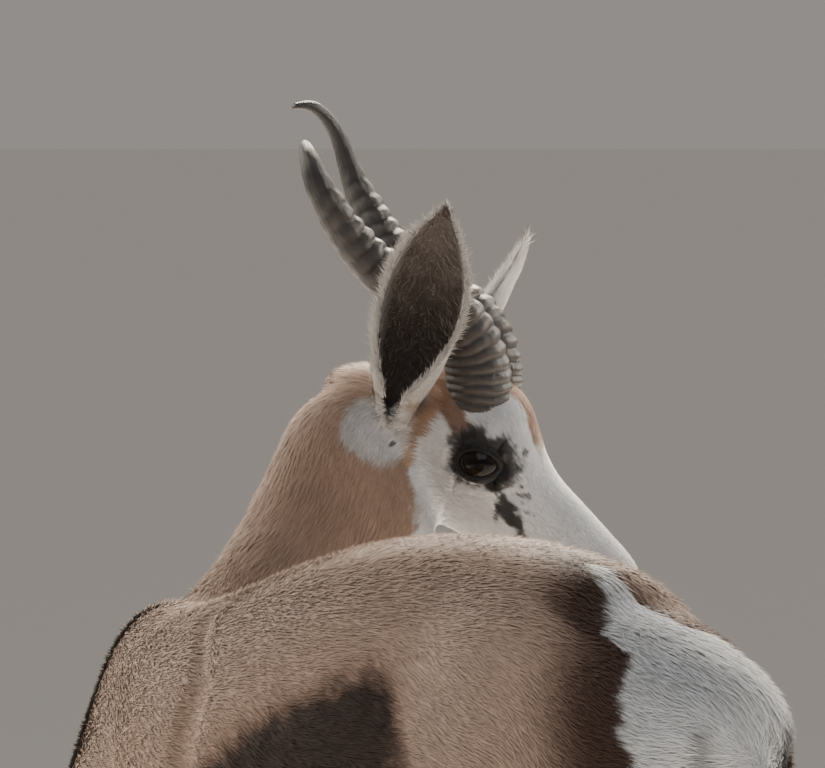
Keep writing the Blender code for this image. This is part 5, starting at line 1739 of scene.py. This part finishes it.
@dataclass
class Horn:
    """A horn with raised rings that fade towards a smooth hooked tip."""

    side: Side
    table: Sequence
    rings: int = 23
    reach: float = 0.245
    relief: float = 0.0017
    around: int = 64

    def build(self, finish: bpy.types.Material) -> bpy.types.Object:
        """The horn.

        Its radius at arc length s and turn a is r(s) + h(s) f(a), where h is a row of rounded ridges whose
        phase p solves 0.62 p + 0.38 p^2 = s / reach for p from 0 to 1, and f is strongest at the front.
        """
        rows = smooth_rows(self.table, 8)
        arc = np.concatenate([[0], np.cumsum(np.linalg.norm(np.diff(rows[:, :3], axis=0), axis=1))])
        s = np.linspace(0, arc[-1], 560)
        centre = np.stack([np.interp(s, arc, rows[:, k]) for k in range(3)], axis=1)
        radius = np.interp(s, arc, rows[:, 3])
        # Smoothing the sampled axis keeps the rings from kinking at the table's rows.
        centre = smoothed(centre, 31)
        # The rings turn with a calmer line than the axis, so that they stay nearly parallel round the bend.
        calm = smoothed(centre, 241)
        side, fore, _ = ring_frames(calm, np.tile([0.25, 0.0, 1.0], (len(s), 1)))
        angle = np.linspace(0, 2 * math.pi, self.around, endpoint=False)[None]
        u = s[:, None] / self.reach
        phase = self.rings * (-0.62 + np.sqrt(0.62 ** 2 + 4 * 0.38 * np.clip(u, 0, 1.2))) / (2 * 0.38)
        for swing, turns, twist in ((0.09, 2, 3), (0.06, 3, -17), (0.04, 7, 31)):
            phase = phase + swing * np.sin(angle * turns + twist * u)
        saw = phase - np.floor(phase)
        ring = np.clip(np.sin(math.pi * saw ** 0.8), 0, 1) ** 1.5
        fade = np.interp(s, (0, 0.004, 0.012, 0.05, 0.15, 0.22, self.reach, 0.285),
                         (0.0, 0.6, 1.0, 1.1, 1.0, 0.75, 0.35, 0.0))
        front = 0.52 + 0.48 * np.sin(angle)
        whole = np.floor(phase)
        uneven = 1 + 0.3 * np.sin(whole * 12.9898) * np.cos(angle - 1)
        uneven = uneven + 0.22 * np.sin(angle * 9 + whole * 4.1)
        height = self.relief * ring * fade[:, None] * (0.35 + 0.65 * front) * uneven
        flute = np.interp(s, (0, 0.02, 0.25, 0.33), (1, 1, 0.8, 0.0))[:, None]
        flute = 0.00012 * np.sin(angle * 19 + 3 * np.sin(9 * u)) * flute
        flat = np.interp(s, (0, 0.15, 0.30), (0.80, 0.88, 1.0))[:, None]
        size = radius[:, None] - 0.0008 * fade[:, None] + height + flute
        grid = (centre[:, None] + side[:, None] * (size * flat * np.cos(angle))[..., None]
                + fore[:, None] * (size * np.sin(angle))[..., None])
        item = tube("horn_" + self.side.word + "_dressed", HEAD_FRAME.out(grid))
        ridge = np.concatenate([(ring * fade[:, None] / 1.1 * (0.4 + 0.6 * front)).ravel(), [0, 0]])
        set_value(item, "ridge", ridge)
        corners = np.empty(len(item.data.loops), np.int32)
        item.data.loops.foreach_get("vertex_index", corners)
        uv = np.stack(np.broadcast_arrays(0.5 + 0.5 * np.sin(angle), s[:, None] * 3), axis=-1)
        uv = np.vstack([uv.reshape(-1, 2), [0.5, 0.0], [0.5, float(s[-1] * 3)]])
        layer = item.data.uv_layers.new(name="horn_map", do_init=False)
        layer.uv.foreach_set("vector", uv[corners].astype(np.float32).ravel())
        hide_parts("horn_" + self.side.word)
        return dress(item, finish)


@dataclass
class Eye:
    """One eyeball with a bulging cornea."""

    side: Side

    def build(self, finish: bpy.types.Material) -> bpy.types.Object:
        """The ball: r = R (0.985 + 0.030 exp(-(turn / 0.62)^2)) about the way that the eye looks."""
        look = unit(np.array([0.10, self.side.value * 1.0, 0.12]))
        up = unit(np.cross(look, np.array([0.70, 0.0, 0.71])))
        lying = np.cross(up, look)
        turn = np.linspace(0.01, math.pi - 0.01, 60)[:, None]
        angle = np.linspace(0, 2 * math.pi, 96, endpoint=False)[None]
        radius = EYE.radius * (0.985 + 0.030 * np.exp(-((turn / 0.62) ** 2)))
        way = (np.cos(turn)[..., None] * look + (np.sin(turn) * np.cos(angle))[..., None] * lying
               + (np.sin(turn) * np.sin(angle))[..., None] * up)
        grid = EYE.middle(self.side.value) + way * radius[..., None]
        item = tube("eye_" + self.side.word + "_dressed", HEAD_FRAME.out(grid))
        pupil = np.hypot(np.sin(turn) * np.cos(angle) * 0.72, np.sin(turn) * np.sin(angle) * 1.35)
        pupil = np.where(turn < 1.5, pupil, 1.0)
        set_value(item, "iris", np.concatenate([pupil.ravel(), [0.0, 1.0]]))
        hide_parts("eye_" + self.side.word)
        return dress(item, finish)


@dataclass
class Lashes:
    """Upper and lower lashes, longest over the middle of the eye."""

    side: Side
    seed: int = 31

    def build(self, finish: bpy.types.Material) -> bpy.types.Object:
        """Bent black hairs along the edges of the slit."""
        rng = np.random.default_rng(self.seed + self.side.value)
        n = 150
        upper = np.arange(n) < 110
        a = rng.uniform(-0.95, 0.9, n) * EYE.half_length
        high = EYE.half_height * np.clip(1 - (a / EYE.half_length) ** 2, 0, 1) ** 0.625
        h = np.where(upper, high + 0.0012, -high - 0.0010)
        cos, sin = math.cos(EYE.slant), math.sin(EYE.slant)
        dx, dz = a * cos - h * sin, a * sin + h * cos
        shell = EYE.radius + EYE.lid * 0.85
        out = np.sqrt(np.clip(shell ** 2 - dx ** 2 - dz ** 2, 1e-8, None))
        off = np.stack([dx, self.side.value * out, dz], axis=1)
        centre = EYE.middle(self.side.value)
        away = np.array([-sin, 0, cos]) * np.where(upper, 1.0, -1.0)[:, None]
        along = np.array([cos, 0, sin])
        look = np.array([0, float(self.side.value), 0])
        lie = unit(look * 1.0 + away * 0.35 - along * 0.25 + rng.normal(0, 0.10, (n, 3)))
        normal = unit(away - lie * (away * lie).sum(1)[:, None])
        turn = HEAD_FRAME.axes().T
        colour = np.tile((0.008, 0.007, 0.007), (n, 1))
        row = (h > 0) * 0.8 + 0.1
        roots = Roots(HEAD_FRAME.out(centre + off), normal @ turn, lie @ turn, np.zeros(n, int), a, row,
                      colour)
        length = np.where(upper, 0.0085, 0.0040) * (1 - 0.45 * (a / EYE.half_length) ** 2)
        length = length * rng.uniform(0.7, 1.15, n)
        item = Tuft(3).build("lashes_" + self.side.word, roots, length, np.full(n, 0.00050), length * 0.35,
                             length * rng.normal(0, 0.1, n), (1, 1), np.ones(n))
        return dress(item, finish)


@dataclass
class Claws:
    """The eight claws of the four cloven hooves."""

    length: float = 0.056
    width: float = 0.0205
    top: float = 0.0357

    def claw(self, name: str, x: float, y: float, inner: int) -> bpy.types.Object:
        """One claw: ovals that narrow towards the toe, each a little shorter and further back."""
        level = np.array([0, 0.0, 0.06, 0.2, 0.35, 0.5, 0.65, 0.8, 0.92, 0.98, 1.0, 1.0])[:, None]
        shrink = np.array([0.5, 0.955, 1, 1, 1, 1, 1, 1, 1.0, 0.985, 0.95, 0.6])[:, None]
        stations = (0, 0.25, 0.62, 1)
        length = np.interp(level, stations, (1.0, 0.97, 0.84, 0.70)) * shrink
        width = np.interp(level, stations, (1.0, 1.0, 0.95, 0.86)) * shrink
        shift = np.interp(level, stations, (0.0, 0.001, 0.004, 0.008))
        angle = np.linspace(0, 2 * math.pi, 56, endpoint=False)[None]
        toe = 0.5 * self.length * length * np.cos(angle)
        pinch = 1 - 0.62 * np.clip(np.cos(angle), 0, 1) ** 2
        wide = 0.5 * self.width * width * np.sin(angle) * pinch
        wide = np.where(wide * inner > 0, wide * 0.82, wide)
        py = y - toe + shift
        top = self.top - (py - y) * math.tan(CLAW_TILT)
        ripple = 1 + 0.006 * np.sin(level * 40)
        rings = np.stack([x + wide * ripple, py + 0 * level, level * top + 0 * angle], axis=-1)
        item = tube(name + "_dressed", rings)
        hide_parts(name)
        return item

    def build(self, finish: bpy.types.Material) -> None:
        """All eight, in their places."""
        for side in Side:
            for part, x, y in (("fore", 0.066, -0.321), ("hind", 0.083, 0.270)):
                for inner, where in ((-1, "outer"), (1, "inner")):
                    name = f"{part}_claw_{where}_{side.word}"
                    shift = 0.5 * self.width + 0.0006
                    claw = self.claw(name, side.value * (x - inner * shift), y, side.value * inner)
                    dress(claw, finish)


# Studio


@dataclass
class Studio:
    """Floor, soft lights and the camera at the photograph's angle."""

    azimuth: float = 142.0
    elevation: float = 2.5
    distance: float = 12.0
    pixels_per_metre: float = 1300.0
    anchor: tuple[float, float, float] = (0.0, -0.270, 0.792)
    anchor_pixel: tuple[float, float] = (212.0, 600.0)
    image: tuple[int, int] = (825, 768)
    sensor: float = 36.0

    def camera(self) -> None:
        """The camera, aimed so that the withers fall on their pixel of the image."""
        back = way_at(self.azimuth, self.elevation)
        right = Vector(UP).cross(back).normalized()
        up = back.cross(right)
        wide, high = self.image
        lens = bpy.data.cameras.new("camera")
        lens.sensor_width = self.sensor
        lens.lens = self.pixels_per_metre * self.distance * self.sensor / wide
        lens.clip_end = 200
        camera = bpy.data.objects.new("camera", lens)
        bpy.context.scene.collection.objects.link(camera)
        target = Vector(self.anchor) + Vector(SHIFT)
        target += right * ((wide / 2 - self.anchor_pixel[0]) / self.pixels_per_metre)
        target += up * ((self.anchor_pixel[1] - high / 2) / self.pixels_per_metre)
        camera.location = target + back * self.distance
        camera.rotation_mode = "QUATERNION"
        camera.rotation_quaternion = (-back).to_track_quat("-Z", "Y")
        bpy.context.scene.camera = camera

    def lamp(self, name: str, azimuth: float, elevation: float, far: float, size: float, power: float,
             colour: tuple[float, float, float]) -> None:
        """A square soft light aimed at the ram's back."""
        light = bpy.data.lights.new(name, "AREA")
        light.shape = "SQUARE"
        light.size = size
        light.energy = power
        light.color = colour
        item = bpy.data.objects.new(name, light)
        bpy.context.scene.collection.objects.link(item)
        way = way_at(azimuth, elevation)
        item.location = Vector((0.0, 0.0, 0.75)) + way * far
        item.rotation_mode = "QUATERNION"
        item.rotation_quaternion = (-way).to_track_quat("-Z", "Y")

    def build(self) -> None:
        """Floor, world, lamps and camera."""
        angle = np.linspace(0, 2 * math.pi, 96, endpoint=False)
        rim = np.stack([40 * np.cos(angle), 40 * np.sin(angle), np.full(96, -0.0005)], axis=1)
        floor = mesh_object("floor", rim, np.arange(96), 96)
        floor.data.materials.append(FloorFinish().make())
        world = bpy.data.worlds.new("studio")
        world.use_nodes = True
        NodeKit(world.node_tree).feed(world.node_tree.nodes["Background"],
                                      {"Color": (0.60, 0.565, 0.53, 1), "Strength": 0.50})
        bpy.context.scene.world = world
        self.lamp("rim_light", 316, 40, 4.0, 1.1, 470, (1.0, 0.90, 0.76))
        self.lamp("left_edge_light", 22, 28, 4.0, 2.4, 190, (1.0, 0.93, 0.83))
        self.lamp("right_edge_light", 262, 30, 4.0, 1.0, 170, (1.0, 0.93, 0.83))
        self.lamp("fill_light", 150, 48, 5.0, 4.5, 85, (0.82, 0.91, 1.0))
        self.camera()


def main() -> None:
    """Builds the pieces in order and reports each."""
    logging.basicConfig(level=logging.INFO, format="%(message)s")
    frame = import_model()
    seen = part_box("eye_right")
    there = HEAD_FRAME.out(EYE.middle(Side.RIGHT.value)) + SHIFT
    log.info("frame offset: %s", np.round(np.array((seen[0] + seen[1]) / 2) - there, 5))
    studio = Studio()
    studio.build()
    skin = Skin().build()
    points, normals = points_of(skin), normals_of(skin)
    # The skin takes the markings' colour painted 4 % darker: painted shade under the tufts.
    set_colour(skin, "coat", Markings(points, normals).read() * 0.96)
    group = coat_group()
    hair = CoatFinish("coat_hair", 1500.0, 0.16, 0.0).make(group)
    Coat(skin, hair).build()
    dress(skin, CoatFinish("coat_skin", 1100.0, 0.35, 0.6).make(group))
    flesh = [name for name in frame["nodes"] if not name.startswith(("horn", "eye")) and "claw" not in name]
    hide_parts(*flesh)
    TailTuft(hair).build()
    horn = HornFinish().make()
    wet = EyeFinish().make()
    for side, table in ((Side.LEFT, LEFT_HORN), (Side.RIGHT, RIGHT_HORN)):
        Horn(side, table).build(horn)
        Eye(side).build(wet)
        Lashes(side).build(hair)
    Claws().build(HoofFinish().make())
    log.info("pieces done")
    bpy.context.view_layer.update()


if __name__ == "__main__":
    main()
